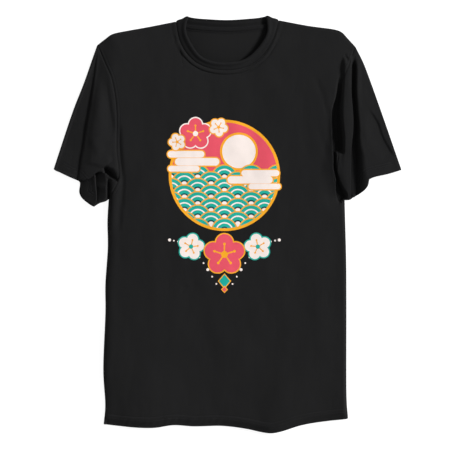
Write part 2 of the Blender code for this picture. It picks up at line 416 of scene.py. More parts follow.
@dataclass(frozen=True)
class Fold:
    """A ridge, a valley or a step pressed into the cloth along a plan curve, with its sizes in millimetres.

    The fold is brought to a level or raised, fades out at its ends, leans over sideways as a whole,
    and stays on the right-hand side of its border where it has one.
    """

    path: Curve
    left: Flank
    right: Flank
    level: Run | None = None
    rise: Run = 0
    ends: tuple[float, float] = (20, 20)
    lean: tuple[float, float] = (0, 0)
    border: Curve | None = None
    border_width: float = 4

    LOOK_AHEAD = 0.02
    LEAST_FLAT = 1.0

    def press(self, plan: np.ndarray, height: np.ndarray) -> tuple[np.ndarray, np.ndarray]:
        """What the fold does to the cloth.

        Args:
            plan: Plan points.
            height: Heights that the cloth has there so far.

        Returns:
            Changes of height, and sideways moves as plan vectors.
        """
        near = near_to(plan, self.path.line, max(self.left.widest(), self.right.widest()))
        change, move = np.zeros(len(plan)), np.zeros_like(plan)
        if not len(near):
            return change, move
        distance, along = self.path.measure(plan[near])
        progress = along / self.path.length
        left = distance >= 0
        flat = MM * np.where(left, run_at(self.left.reach, progress), run_at(self.right.reach, progress))
        fall = MM * np.where(left, run_at(self.left.fall, progress), run_at(self.right.fall, progress))
        beyond = (np.abs(distance) - flat) / fall
        share = np.where(left, self.left.slope.left_over(beyond), self.right.slope.left_over(beyond))
        start, end = np.array(self.ends) * MM
        share *= smoothstep(along / start) * smoothstep((self.path.length - along) / end)
        if self.border is not None:
            share *= smoothstep(-self.border.measure(plan[near])[0] / (self.border_width * MM))
        if self.level is None:
            change[near] = share * run_at(self.rise, progress) * MM
        else:
            change[near] = share * (run_at(self.level, progress) * MM - height[near])
        tuck = MM * np.where(left, self.left.tuck, self.right.tuck)
        toward_border = np.clip(np.abs(distance) / np.maximum(flat, self.LEAST_FLAT * MM), 0.0, 1.0)
        carried = tuck * toward_border * np.sign(distance)
        before = self.path.at(np.clip(progress - self.LOOK_AHEAD, 0, 1))
        ahead = unit(self.path.at(np.clip(progress + self.LOOK_AHEAD, 0, 1)) - before)
        leftward = np.column_stack([-ahead[:, 1], ahead[:, 0]])
        move[near] = share[:, None] * (leftward * carried[:, None] + np.array(self.lean) * MM)
        return change, move


@dataclass(frozen=True)
class Crumple:
    """Soft unevenness of cloth that was worn and laid down by hand."""

    height: float
    across: float
    along: float
    seed: float

    def rise(self, plan: np.ndarray) -> np.ndarray:
        """Height that the unevenness adds over plan points."""
        scaled = plan / (self.across, self.along)
        return self.height * np.array([noise.noise((x, y, self.seed)) for x, y in scaled.tolist()])


@dataclass(frozen=True)
class Roping:
    """Slanted puckers of a hem whose stitching has drawn the cloth."""

    path: Curve
    width: float
    pitch: float
    slant: float
    height: float
    span: tuple[float, float]

    WANDER = 2.6
    WANDER_LENGTH = 0.031
    WANDER_SEED = 4.2
    BORDERS = (0.3, 0.35)
    RUN_IN = 0.03
    RUN_OUT = 0.06
    STRENGTH = (0.65, 0.5)

    def rise(self, plan: np.ndarray) -> np.ndarray:
        """Height that the puckers add.

        Args:
            plan: Plan points.

        Returns:
            A height for each point.
        """
        rise = np.zeros(len(plan))
        near = near_to(plan, self.path.line, self.width)
        if not len(near):
            return rise
        distance, along = self.path.measure(plan[near])
        distance = np.abs(distance)
        places = [(travelled / self.WANDER_LENGTH, 0.0, self.WANDER_SEED) for travelled in along.tolist()]
        wander = np.array([noise.noise(place) for place in places])
        wave = np.sin(2 * math.pi * (along - self.slant * distance) / self.pitch + self.WANDER * wander)
        inner, outer = (share * self.width for share in self.BORDERS)
        band = smoothstep(distance / inner) * smoothstep((self.width - distance) / outer)
        start, end = self.span
        run = smoothstep((along - start) / self.RUN_IN) * smoothstep((end - along) / self.RUN_OUT)
        mean, swing = self.STRENGTH
        rise[near] = self.height * wave * band * run * (mean + swing * wander)
        return rise


@dataclass
class Lay:
    """How the garment lies: where each plan point of its front and back layer is in space."""

    edges: list[Edge]
    folds: list[Fold]
    dents: list[Fold]
    unevenness: list[Crumple | Roping]
    hem_dip: float

    SEAM_Z = 0.0055
    SEAM_GAP = 0.0005
    LOFT = ((-0.375, -0.22, -0.05, 0.15, 0.245, 0.29, 0.375),
            (0.008, 0.0142, 0.0162, 0.016, 0.0145, 0.011, 0.0085))
    HEM_WAVE = 0.0016
    HEM_WAVE_LENGTH = 0.24
    HEM_WAVE_TOP = -0.2
    HEM_WAVE_FADE = 0.15
    HEM_STAND = 0.0013
    HEM_STAND_TOP = -0.316
    HEM_STAND_FADE = 0.012
    FLOOR_GAP = 0.0001
    CORNER_POWER = 4
    BACK_ROLL = 0.011
    GUARD = 0.006
    JERSEY = 0.001
    LOWEST = 0.0034
    NECK_LIFT = 0.006
    NECK_CENTRE = (0.0, 0.35)
    NECK_REACH = (0.125, 0.11)
    NECK_STEEPNESS = 1.25

    def to_edges(self, plan: np.ndarray) -> tuple[np.ndarray, np.ndarray]:
        """How plan points are placed to the closed edges.

        Args:
            plan: Plan points.

        Returns:
            Distances to the nearest edge, and shares of the loft.
        """
        distances = [np.abs(edge.curve.measure(plan)[0]) for edge in self.edges]
        empty = [1 - edge.filled(distance) for edge, distance in zip(self.edges, distances)]
        merged = sum(share**self.CORNER_POWER for share in empty) ** (1 / self.CORNER_POWER)
        return np.min(distances, axis=0), np.clip(1 - merged, 0.0, 1.0)

    def front(self, plan: np.ndarray) -> np.ndarray:
        """Places of plan points of the front layer.

        Args:
            plan: Plan points.

        Returns:
            Points in space, on the middle of the cloth.
        """
        distance, filled = self.to_edges(plan)
        wave_share = smoothstep((self.HEM_WAVE_TOP - plan[:, 1]) / self.HEM_WAVE_FADE)
        turn = 2 * math.pi * (plan[:, 0] - self.hem_dip) / self.HEM_WAVE_LENGTH
        wave = self.HEM_WAVE * wave_share * np.cos(turn)
        guard = smoothstep(distance / self.GUARD)
        height = self.SEAM_Z + (np.interp(plan[:, 1], *self.LOFT) + wave) * filled
        move = np.zeros_like(plan)
        for fold in self.folds:
            change, sideways = fold.press(plan, height)
            height = height + change * guard
            move += sideways * guard[:, None]
        for uneven in self.unevenness:
            height += uneven.rise(plan) * guard
        for dent in self.dents:
            height += dent.press(plan, height)[0] * guard
        height = np.maximum(height, self.LOWEST) * guard + height * (1 - guard)
        height = height + self.SEAM_GAP / 2 * (1 - smoothstep(distance / self.SEAM_GAP))
        return np.column_stack([plan + move, height])

    def back(self, plan: np.ndarray) -> np.ndarray:
        """Places of plan points of the back layer, which lies on the floor.

        Args:
            plan: Plan points.

        Returns:
            Points in space, on the middle of the cloth.
        """
        distance = self.to_edges(plan)[0]
        at_hem = smoothstep((self.HEM_STAND_TOP - plan[:, 1]) / self.HEM_STAND_FADE)
        low = self.JERSEY / 2 + self.FLOOR_GAP + self.HEM_STAND * at_hem
        height = self.SEAM_Z - (self.SEAM_Z - low) * quarter_round(distance / self.BACK_ROLL)
        reach = np.linalg.norm((plan - self.NECK_CENTRE) / self.NECK_REACH, axis=1)
        lifted = np.maximum(height, low + self.NECK_LIFT * smoothstep(self.NECK_STEEPNESS * (1.0 - reach)))
        height = lifted - self.SEAM_GAP / 2 * (1 - smoothstep(distance / self.SEAM_GAP))
        return np.column_stack([plan, height])


def pressed(path: Curve, depth: float, width: float) -> Fold:
    """A narrow line pressed into the cloth, as by a row of stitches, with its sizes in millimetres."""
    side = Flank(fall=width)
    return Fold(path, side, side, rise=-depth, ends=(1, 1))


def seated(placing: Placing, plan: np.ndarray) -> tuple[np.ndarray, np.ndarray]:
    """Places on a laid surface and the directions at right angles to it.

    Args:
        placing: A Lay's front or back.
        plan: Plan points.

    Returns:
        Points in space, and unit vectors that point up.
    """
    step = 0.0004
    here = placing(plan)
    normal = np.cross(placing(plan + (step, 0.0)) - here, placing(plan + (0.0, step)) - here)
    return here, unit(normal)


# ---- shading


class Shade:
    """A socket of a node tree that takes part in expressions."""

    def __init__(self, shading: "Shading", socket: bpy.types.NodeSocket) -> None:
        """Keep the socket and the tree it is in."""
        self.shading = shading
        self.socket = socket

    def _with(self, operation: str, *values: "Shade | float") -> "Shade":
        """A Math node on the values, in order."""
        node = self.shading.node("ShaderNodeMath", {"operation": operation}, dict(enumerate(values)))
        return Shade(self.shading, node.outputs[0])

    def __add__(self, other: "Shade | float") -> "Shade":
        """Sum."""
        return self._with("ADD", self, other)

    __radd__ = __add__

    def __sub__(self, other: "Shade | float") -> "Shade":
        """Difference."""
        return self._with("SUBTRACT", self, other)

    def __rsub__(self, other: float) -> "Shade":
        """Difference from a number."""
        return self._with("SUBTRACT", other, self)

    def __mul__(self, other: "Shade | float") -> "Shade":
        """Product."""
        return self._with("MULTIPLY", self, other)

    __rmul__ = __mul__

    def __truediv__(self, other: "Shade | float") -> "Shade":
        """Quotient."""
        return self._with("DIVIDE", self, other)

    def __abs__(self) -> "Shade":
        """Size without its sign."""
        return self._with("ABSOLUTE", self)

    def fraction(self) -> "Shade":
        """What is left of it above a whole number."""
        return self._with("FRACT", self)

    def sine(self) -> "Shade":
        """Sine."""
        return self._with("SINE", self)


@dataclass(frozen=True)
class Cloud:
    """Soft noise: its spots to the metre, how many finer sizes it has, and its stretch along each axis."""

    scale: float
    detail: float
    stretch: Triple = (1.0, 1.0, 1.0)


class Shading:
    """A material or world under construction."""

    LOOP_SLANT = 0.8
    LOOP_SHARE = 0.7
    COLUMN_SHARE = 0.3

    def __init__(self, tree: bpy.types.NodeTree) -> None:
        """Start on an empty tree."""
        self.tree = tree
        tree.nodes.clear()

    def node(self, kind: str, settings: Values | None = None, values: Values | None = None) -> bpy.types.Node:
        """Add a node.

        Args:
            kind: Type of the node.
            settings: Its properties, set first; stops are a ramp's (place, grey) pairs.
            values: Numbers, colours or shades for its input sockets, by name or place.

        Returns:
            The node.
        """
        made = self.tree.nodes.new(kind)
        for name, setting in (settings or {}).items():
            if name == "stops":
                for _ in range(len(setting) - len(made.color_ramp.elements)):
                    made.color_ramp.elements.new(0.5)
                for element, (place, grey) in zip(made.color_ramp.elements, setting):
                    element.position = place
                    element.color = (grey, grey, grey, 1.0)
            else:
                setattr(made, name, setting)
        for name, value in (values or {}).items():
            if isinstance(value, Shade):
                self.tree.links.new(value.socket, made.inputs[name])
            else:
                made.inputs[name].default_value = value
        return made

    def shade(
        self,
        kind: str,
        settings: Values | None = None,
        values: Values | None = None,
        output: str | int = 0,
    ) -> Shade:
        """Add a node and take one of its outputs.

        Args:
            kind: Type of the node.
            settings: Its properties.
            values: Values of its input sockets.
            output: Name or place of the output.

        Returns:
            The output as a shade.
        """
        return Shade(self, self.node(kind, settings, values).outputs[output])

    def place(self, stretch: Triple = (1.0, 1.0, 1.0)) -> Shade:
        """The piece's own coordinates in metres, stretched."""
        own = self.shade("ShaderNodeTexCoord", output="Object")
        return self.shade("ShaderNodeMapping", {"vector_type": "POINT"}, {"Vector": own, "Scale": stretch})

    def cloudy(self, cloud: Cloud) -> Shade:
        """A cloud's noise, from 0 to 1."""
        values = {"Vector": self.place(cloud.stretch), "Scale": cloud.scale, "Detail": cloud.detail}
        return self.shade("ShaderNodeTexNoise", {}, values)

    def mixed(self, share: Shade, first: Sequence[float], second: Sequence[float]) -> Shade:
        """Colour between two colours.

        Args:
            share: 0 gives the first and 1 the second.
            first: Red, green and blue.
            second: Red, green and blue.

        Returns:
            The mixed colour.
        """
        values = {0: share, 6: (*first, 1.0), 7: (*second, 1.0)}
        return self.shade("ShaderNodeMix", {"data_type": "RGBA"}, values, output=2)

    def bumped(self, height: Shade, distance: float, below: Shade | None = None) -> Shade:
        """A bump that feeds a normal.

        Args:
            height: Height from 0 to 1.
            distance: Height that 1 stands for, in metres.
            below: A bump that this one lies on.

        Returns:
            The normal.
        """
        values: Values = {"Height": height, "Distance": distance}
        if below is not None:
            values["Normal"] = below
        return self.shade("ShaderNodeBump", {}, values)

    def knitted(self, wale: float, course: float) -> Shade:
        """Height of plain knit from 0 to 1: columns of small V-shaped loops.

        Args:
            wale: Width of a column.
            course: Height of a row of loops.

        Returns:
            The height.
        """
        split = self.node("ShaderNodeSeparateXYZ", {}, {"Vector": self.place()})
        x, y = Shade(self, split.outputs[0]), Shade(self, split.outputs[1])
        beside = abs((x / wale).fraction() - 0.5) * 2.0
        arm = (y / course - beside * self.LOOP_SLANT).fraction() - 0.5
        loops = (1.0 - beside * beside) * (1.0 - 4.0 * (arm * arm))
        return loops * self.LOOP_SHARE + (1.0 - beside) * self.COLUMN_SHARE


@dataclass(frozen=True)
class Finish:
    """A material of its own, ended in one shader."""

    name: str

    def values(self, shading: Shading) -> Values:
        """What the shader's sockets have."""
        raise NotImplementedError

    def make(self) -> bpy.types.Material:
        """Build the material.

        Returns:
            The material.
        """
        made = bpy.data.materials.new(self.name)
        made.use_nodes = True
        shading = Shading(made.node_tree)
        shader = shading.shade("ShaderNodeBsdfPrincipled", {}, self.values(shading))
        shading.node("ShaderNodeOutputMaterial", {}, {"Surface": shader})
        return made


SOFT_FACE = {"Specular IOR Level": 0.08, "Sheen Weight": 0.03, "Sheen Roughness": 0.5}


@dataclass(frozen=True)
class JerseyFinish(Finish):
    """Black cotton single jersey, dyed in the piece, with a soft dry face."""

    name: str = "black_jersey"
    deep: Triple = (0.009, 0.009, 0.0093)
    pale: Triple = (0.0146, 0.0146, 0.015)
    broad: Cloud = Cloud(9.0, 3.0, (1.0, 0.6, 1.0))
    slub: Cloud = Cloud(210.0, 2.0, (1.0, 0.16, 1.0))
    fuzz: Cloud = Cloud(900.0, 2.0)
    weights: Triple = (0.45, 0.3, 0.25)
    roughness: tuple[float, float] = (0.84, 0.12)
    wale: float = 0.0011
    course: float = 0.0009
    relief: float = 0.00016
    slub_relief: float = 0.00022
    fuzz_relief: float = 0.0002

    def values(self, shading: Shading) -> Values:
        """Uneven dye over bumps of knit, thick yarn and fuzz.

        Args:
            shading: The material's tree.

        Returns:
            Values of the shader's sockets.
        """
        broad, slub, fuzz = [shading.cloudy(cloud) for cloud in (self.broad, self.slub, self.fuzz)]
        shade = broad * self.weights[0] + slub * self.weights[1] + fuzz * self.weights[2]
        knit = shading.bumped(shading.knitted(self.wale, self.course), self.relief)
        streaks = shading.bumped(slub, self.slub_relief, knit)
        face = shading.bumped(fuzz, self.fuzz_relief, streaks)
        return {
            "Base Color": shading.mixed(shade, self.deep, self.pale),
            "Roughness": self.roughness[0] + self.roughness[1] * fuzz,
            **SOFT_FACE,
            "Normal": face,
        }


@dataclass(frozen=True)
class RibFinish(Finish):
    """Cotton rib with some elastane: a little denser and smoother than the jersey."""

    name: str = "black_rib"
    deep: Triple = (0.0084, 0.0084, 0.0088)
    pale: Triple = (0.013, 0.013, 0.0135)
    broad: Cloud = Cloud(24.0, 2.0)
    fuzz: Cloud = Cloud(1100.0, 2.0)
    weights: tuple[float, float] = (0.6, 0.4)
    roughness: tuple[float, float] = (0.8, 0.12)
    relief: float = 0.00018

    def values(self, shading: Shading) -> Values:
        """Uneven dye over a bump of fuzz.

        Args:
            shading: The material's tree.

        Returns:
            Values of the shader's sockets.
        """
        broad, fuzz = shading.cloudy(self.broad), shading.cloudy(self.fuzz)
        shade = broad * self.weights[0] + fuzz * self.weights[1]
        return {
            "Base Color": shading.mixed(shade, self.deep, self.pale),
            "Roughness": self.roughness[0] + self.roughness[1] * fuzz,
            **SOFT_FACE,
            "Normal": shading.bumped(fuzz, self.relief),
        }


@dataclass(frozen=True)
class TapeFinish(Finish):
    """Twill tape: fine slanted ridges."""

    name: str = "black_twill_tape"
    deep: Triple = (0.0078, 0.0078, 0.0082)
    # pale is the colour of the painted highlight on the ridges' tops, mixed with the fuzz's random tone
    pale: Triple = (0.0132, 0.0132, 0.0137)
    pitch: float = 0.0014
    fuzz: Cloud = Cloud(1000.0, 2.0)
    weights: tuple[float, float] = (0.6, 0.4)
    roughness: tuple[float, float] = (0.8, 0.14)
    relief: float = 0.00015

    def values(self, shading: Shading) -> Values:
        """Ridges with a painted highlight: the base colour is paler on their tops.

        Args:
            shading: The material's tree.

        Returns:
            Values of the shader's sockets.
        """
        split = shading.node("ShaderNodeSeparateXYZ", {}, {"Vector": shading.place()})
        x, y = Shade(shading, split.outputs[0]), Shade(shading, split.outputs[1])
        ridge = ((x + y) * (2 * math.pi / self.pitch)).sine() * 0.5 + 0.5
        fuzz = shading.cloudy(self.fuzz)
        # painted highlight: the ridge height also makes the base colour paler on the ridges' tops
        shade = ridge * self.weights[0] + fuzz * self.weights[1]
        return {
            "Base Color": shading.mixed(shade, self.deep, self.pale),
            "Roughness": self.roughness[0] + self.roughness[1] * fuzz,
            "Specular IOR Level": 0.08,
            "Normal": shading.bumped(ridge, self.relief),
        }


@dataclass(frozen=True)
class ThreadFinish(Finish):
    """Spun polyester sewing thread, two plies twisted."""

    name: str = "black_thread"
    deep: Triple = (0.008, 0.008, 0.0084)
    # pale is the colour of the painted highlight on the plies' tops
    pale: Triple = (0.02, 0.02, 0.0208)
    plies: Cloud = Cloud(1600.0, 1.0, (1.0, 0.5, 1.0))
    roughness: tuple[float, float] = (0.52, 0.2)
    relief: float = 0.0001

    def values(self, shading: Shading) -> Values:
        """Plies with a painted highlight: the base colour is paler where the plies stand up.

        Args:
            shading: The material's tree.

        Returns:
            Values of the shader's sockets.
        """
        plies = shading.cloudy(self.plies)
        return {
            # painted highlight: the noise that bumps the plies also makes the base colour paler on their tops
            "Base Color": shading.mixed(plies, self.deep, self.pale),
            "Roughness": self.roughness[0] + self.roughness[1] * plies,
            "Specular IOR Level": 0.22,
            "Normal": shading.bumped(plies, self.relief),
        }


@dataclass(frozen=True)
class InkFinish(Finish):
    """Plastisol ink that was printed through a screen and cured: matt film that shows the knit under it."""

    colour: Triple
    broad: Cloud = Cloud(60.0, 3.0)
    fine: Cloud = Cloud(700.0, 2.0)
    weight: float = 0.5
    thinnest: float = 0.86
    fullest: float = 1.06
    roughness: tuple[float, float] = (0.5, 0.16)
    knit_relief: float = 0.00007
    relief: float = 0.0001

    def values(self, shading: Shading) -> Values:
        """Uneven cover over the knit.

        Args:
            shading: The material's tree.

        Returns:
            Values of the shader's sockets.
        """
        cover = shading.cloudy(self.broad) * self.weight + shading.cloudy(self.fine) * self.weight
        thin = tuple(self.thinnest * part for part in self.colour)
        full = tuple(min(1.0, self.fullest * part) for part in self.colour)
        knit = shading.bumped(shading.knitted(JerseyFinish.wale, JerseyFinish.course), self.knit_relief)
        return {
            "Base Color": shading.mixed(cover, thin, full),
            "Roughness": self.roughness[0] + self.roughness[1] * cover,
            "Specular IOR Level": 0.22,
            "Normal": shading.bumped(cover, self.relief, knit),
        }


@dataclass(frozen=True)
class TableFinish(Finish):
    """White table top, lit from below as well as from above."""

    name: str = "white_table"
    grey: float = 0.3
    glow: float = 0.9

    def values(self, shading: Shading) -> Values:
        """An even grey that glows."""
        return {
            "Base Color": (self.grey, self.grey, self.grey, 1.0),
            "Roughness": 0.9,
            "Specular IOR Level": 0.1,
            "Emission Color": (1.0, 1.0, 1.0, 1.0),
            "Emission Strength": self.glow,
        }


# ---- meshes


def object_from(
    name: str, verts: np.ndarray, faces: Sequence[Sequence[int]], *finish: bpy.types.Material
) -> bpy.types.Object:
    """A smooth mesh object in the scene.

    Args:
        name: Name of the piece.
        verts: Points in space.
        faces: Corners of each face.
        *finish: Its materials.

    Returns:
        The object.
    """
    mesh = bpy.data.meshes.new(name)
    mesh.from_pydata(np.asarray(verts).reshape(-1, 3).tolist(), [], faces)
    mesh.shade_smooth()
    for each in finish:
        mesh.materials.append(each)
    piece = bpy.data.objects.new(name, mesh)
    bpy.context.scene.collection.objects.link(piece)
    return piece


def applied(piece: bpy.types.Object, crease: float) -> bpy.types.Object:
    """Turn a piece's modifiers into mesh and keep sharp borders sharp.

    Args:
        piece: The object.
        crease: Angle above which an edge is sharp, in degrees.

    Returns:
        The same object.
    """
    bpy.context.view_layer.update()
    shown = piece.evaluated_get(bpy.context.evaluated_depsgraph_get())
    mesh = bpy.data.meshes.new_from_object(shown)
    mesh.name = piece.name
    piece.modifiers.clear()
    piece.data = mesh
    mesh.set_sharp_from_angle(angle=math.radians(crease))
    return piece


def grid_faces(rows: int, columns: int, ring: bool) -> list[tuple[int, int, int, int]]:
    """Faces of a grid of points.

    Args:
        rows: Number of rows.
        columns: Number of columns.
        ring: Whether the columns close on themselves.

    Returns:
        Four corners for each face.
    """
    faces = []
    for row in range(rows - 1):
        for column in range(columns if ring else columns - 1):
            after = (column + 1) % columns
            low, high = row * columns, (row + 1) * columns
            faces.append((low + column, low + after, high + after, high + column))
    return faces


def cloth(
    name: str, grid: np.ndarray, thickness: float, finish: bpy.types.Material, ring: bool = False
) -> bpy.types.Object:
    """A sheet of cloth with a real thickness.

    Args:
        name: Name of the piece.
        grid: Rows of points on the middle of the cloth.
        thickness: How thick it is.
        finish: Its material.
        ring: Whether the columns close on themselves.

    Returns:
        The object.
    """
    rows, columns, _ = grid.shape
    piece = object_from(name, grid, grid_faces(rows, columns, ring), finish)
    both = piece.modifiers.new("thickness", "SOLIDIFY")
    both.thickness = thickness
    both.offset = 0.0
    both.use_quality_normals = True
    return applied(piece, crease=60.0)


def tube_normals(grid: np.ndarray) -> np.ndarray:
    """Normals of a grid of points whose columns close on themselves.

    Args:
        grid: Rows of points.

    Returns:
        A unit vector for each point.
    """
    wrapped = np.concatenate([grid[:, -1:], grid, grid[:, :1]], axis=1)
    across = np.gradient(wrapped, axis=1)[:, 1:-1]
    return unit(np.cross(across, np.gradient(grid, axis=0)))


def turned_up(grid: np.ndarray, inward: np.ndarray, width: float, gap: float) -> np.ndarray:
    """A grid whose first row is a hem, with the hem's turn-up added before it.

    Args:
        grid: Rows of points, starting at the hem.
        inward: Unit vectors towards the inside of the garment at each point.
        width: Width of the turn-up.
        gap: Distance between the middles of its two layers.

    Returns:
        The grid with the rows of the inner layer and of the fold before its own.
    """
    steps = np.median(np.linalg.norm(np.diff(grid, axis=0), axis=2), axis=1)
    walked = np.concatenate([[0.0], np.cumsum(steps)])
    rows = int(np.searchsorted(walked, width))
    inner = grid[1 : rows + 1] + inward[1 : rows + 1] * gap
    outward = unit(grid[0] - grid[1])
    near = grid[0] + inward[0] * gap
    middle = grid[0] + inward[0] * gap / 2 + outward * gap / 2
    return np.concatenate([inner[::-1], near[None], middle[None], grid])


def with_allowance(grid: np.ndarray, inward: np.ndarray, width: float, gap: float) -> np.ndarray:
    """A grid whose last row is at a seam, with the seam allowance that lies inside the garment.

    Args:
        grid: Rows of points, ending at the seam.
        inward: Unit vectors towards the inside of the garment at the last row.
        width: Width of the allowance.
        gap: How far inside its middle is.

    Returns:
        The grid with the rows of the allowance after its own.
    """
    ahead = unit(grid[-1] - grid[-2])
    stations = ((0.12, 0.75), (0.5, 1.0), (1.0, 1.0))
    added = [[grid[-1] + ahead * width * across + inward * gap * deep] for across, deep in stations]
    return np.concatenate([grid, *added])


@dataclass(frozen=True)
class Stitching:
    """A row of lockstitches that lies on cloth."""

    length: float = 0.0026
    gap: float = 0.0007
    radius: float = 0.00026

    SIDES = 6
    LEAD = 0.1
    PROFILE = ((0.0, 0.35, -0.9), (0.1, 0.85, -0.1), (0.5, 1.0, 0.35), (0.9, 0.85, -0.1), (1.0, 0.35, -0.9))

    def row(
        self, placing: Placing, line: np.ndarray, over: float
    ) -> tuple[np.ndarray, list[tuple[int, ...]]]:
        """Stitches along a plan line.

        Args:
            placing: Where plan points are in space.
            line: Plan points along the row.
            over: Height of the thread's middle over the middle of the cloth; negative is under it.

        Returns:
            Vertices and faces.
        """
        course = Curve(line, 2)
        pitch = self.length + self.gap
        count = max(1, int(course.length / pitch))
        along, size, lift = np.array(self.PROFILE).T
        shares = (np.arange(count)[:, None] + self.LEAD + along * self.length / pitch) / count
        here, up = [part.reshape(count, -1, 3) for part in seated(placing, course.at(shares.ravel()))]
        centre = here + up * (over + math.copysign(self.radius, over) * lift)[:, None]
        run = centre[:, -1] - centre[:, 0]
        side = unit(np.cross(run, up[:, len(along) // 2]))
        turn = np.linspace(0.0, 2 * math.pi, self.SIDES, endpoint=False)
        spokes = np.cos(turn)[:, None] * side[:, None] + np.sin(turn)[:, None] * up[:, len(along) // 2, None]
        verts = centre[:, :, None] + spokes[:, None] * (size * self.radius)[:, None, None]
        faces, last = [], (len(along) - 1) * self.SIDES
        shell = grid_faces(len(along), self.SIDES, ring=True)
        shell += [tuple(reversed(range(self.SIDES))), tuple(range(last, last + self.SIDES))]
        for base in range(0, count * (last + self.SIDES), last + self.SIDES):
            faces += [tuple(base + corner for corner in face) for face in shell]
        return verts.reshape(-1, 3), faces


class Seamstress:
    """Sews rows of stitches and joins them in one piece."""

    def __init__(self, name: str, thread: bpy.types.Material, stitching: Stitching) -> None:
        """Start a piece of stitching.

        Args:
            name: Name of the piece.
            thread: Its material.
            stitching: Size of its stitches.
        """
        self.name, self.thread, self.stitching = name, thread, stitching
        self.verts: list[np.ndarray] = []
        self.faces: list[tuple[int, ...]] = []

    def sew(self, placing: Placing, line: np.ndarray, over: float) -> None:
        """Add one row of stitches.

        Args:
            placing: Where plan points are in space.
            line: Plan points along the row.
            over: Height of the thread over the middle of the cloth.
        """
        verts, faces = self.stitching.row(placing, line, over)
        base = sum(len(part) for part in self.verts)
        self.faces += [tuple(base + corner for corner in face) for face in faces]
        self.verts.append(verts)

    def done(self) -> bpy.types.Object:
        """Finish the piece, which rides on the garment.

        Returns:
            The object.
        """
        piece = object_from(self.name, np.vstack(self.verts), self.faces, self.thread)
        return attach(piece, BODY)


# ---- the garment


@dataclass
class Wardrobe:
    """What every sub-assembly of the garment shares."""

    pattern: Pattern
    lay: Lay
    jersey: bpy.types.Material
    rib: bpy.types.Material
    tape: bpy.types.Material
    thread: bpy.types.Material


@dataclass
class Panel:
    """Front or back of the body, with its turned-up hem."""

    shop: Wardrobe
    front: bool
    thickness: float = 0.001
    hem_width: float = 0.0205
    hem_gap: float = 0.00115
    neck_share: tuple[float, float] = (0.32, 0.68)
    underarm_share: float = 0.6
    width: float = 0.43
    side_length: float = 0.406
    armhole_length: float = 0.3

    FRONT_STEPS = (0.0011, 0.0031)
    BACK_STEPS = (0.0025, 0.0062)
    ROW_STRETCH = 1.1
    SIDE_BORDERS = (0.012, 0.04)
    HEM_BORDER = 0.026
    SHOULDER_BORDER = 0.012

    def stations(self) -> tuple[np.ndarray, np.ndarray, np.ndarray]:
        """Where the grid's columns and rows are.

        Returns:
            Shares of the columns, and of the rows below and above the underarm.
        """
        fine, coarse = self.FRONT_STEPS if self.front else self.BACK_STEPS
        across = graded(self.width, *self.SIDE_BORDERS, fine, coarse)
        below = graded(self.side_length, self.HEM_BORDER, 0.0, fine, coarse * self.ROW_STRETCH)
        above = graded(self.armhole_length, 0.0, self.SHOULDER_BORDER, fine, coarse)
        return across, below, above

    def grid(self) -> np.ndarray:
        """Plan grid from the hem to the shoulders.

        Returns:
            Rows of plan points.
        """
        pattern = self.shop.pattern
        across, below, above = self.stations()
        start, end = self.neck_share
        neckline = pattern.curve(pattern.NECK_SEAM_FRONT if self.front else pattern.NECK_SEAM_BACK)
        shoulders = {side: pattern.curve(pattern.SHOULDER[side]) for side in Side}
        left, right = across < start, across > end
        middle = ~(left | right)
        top = np.vstack([
            shoulders[Side.LEFT].at(across[left] / start),
            neckline.at((across[middle] - start) / (end - start)),
            shoulders[Side.RIGHT].at((1 - across[right]) / start),
        ])
        share = self.underarm_share
        upward = np.concatenate([below * share, share + above[1:] * (1 - share)])
        lower = [pattern.curve(pattern.SIDE_SEAM[side]).at(below) for side in Side]
        upper = [pattern.curve(pattern.ARMHOLE[side]).at(above[1:]) for side in Side]
        sides = [np.vstack(pair) for pair in zip(lower, upper)]
        return spanned(pattern.curve(pattern.HEM).at(across), top, *sides, across, upward)

    def build(self) -> bpy.types.Object:
        """Returns:
            The object.
        """
        plan = self.grid()
        placing = self.shop.lay.front if self.front else self.shop.lay.back
        laid = placing(plan.reshape(-1, 2)).reshape(*plan.shape[:2], 3)
        inward = np.zeros_like(laid)
        inward[..., 2] = -1.0 if self.front else 1.0
        laid = turned_up(laid, inward, self.hem_width, self.hem_gap)
        word = "front" if self.front else "back"
        piece = cloth(f"{word}_jersey", laid, self.thickness, self.shop.jersey)
        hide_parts(f"{word}_panel")
        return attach(piece, BODY)


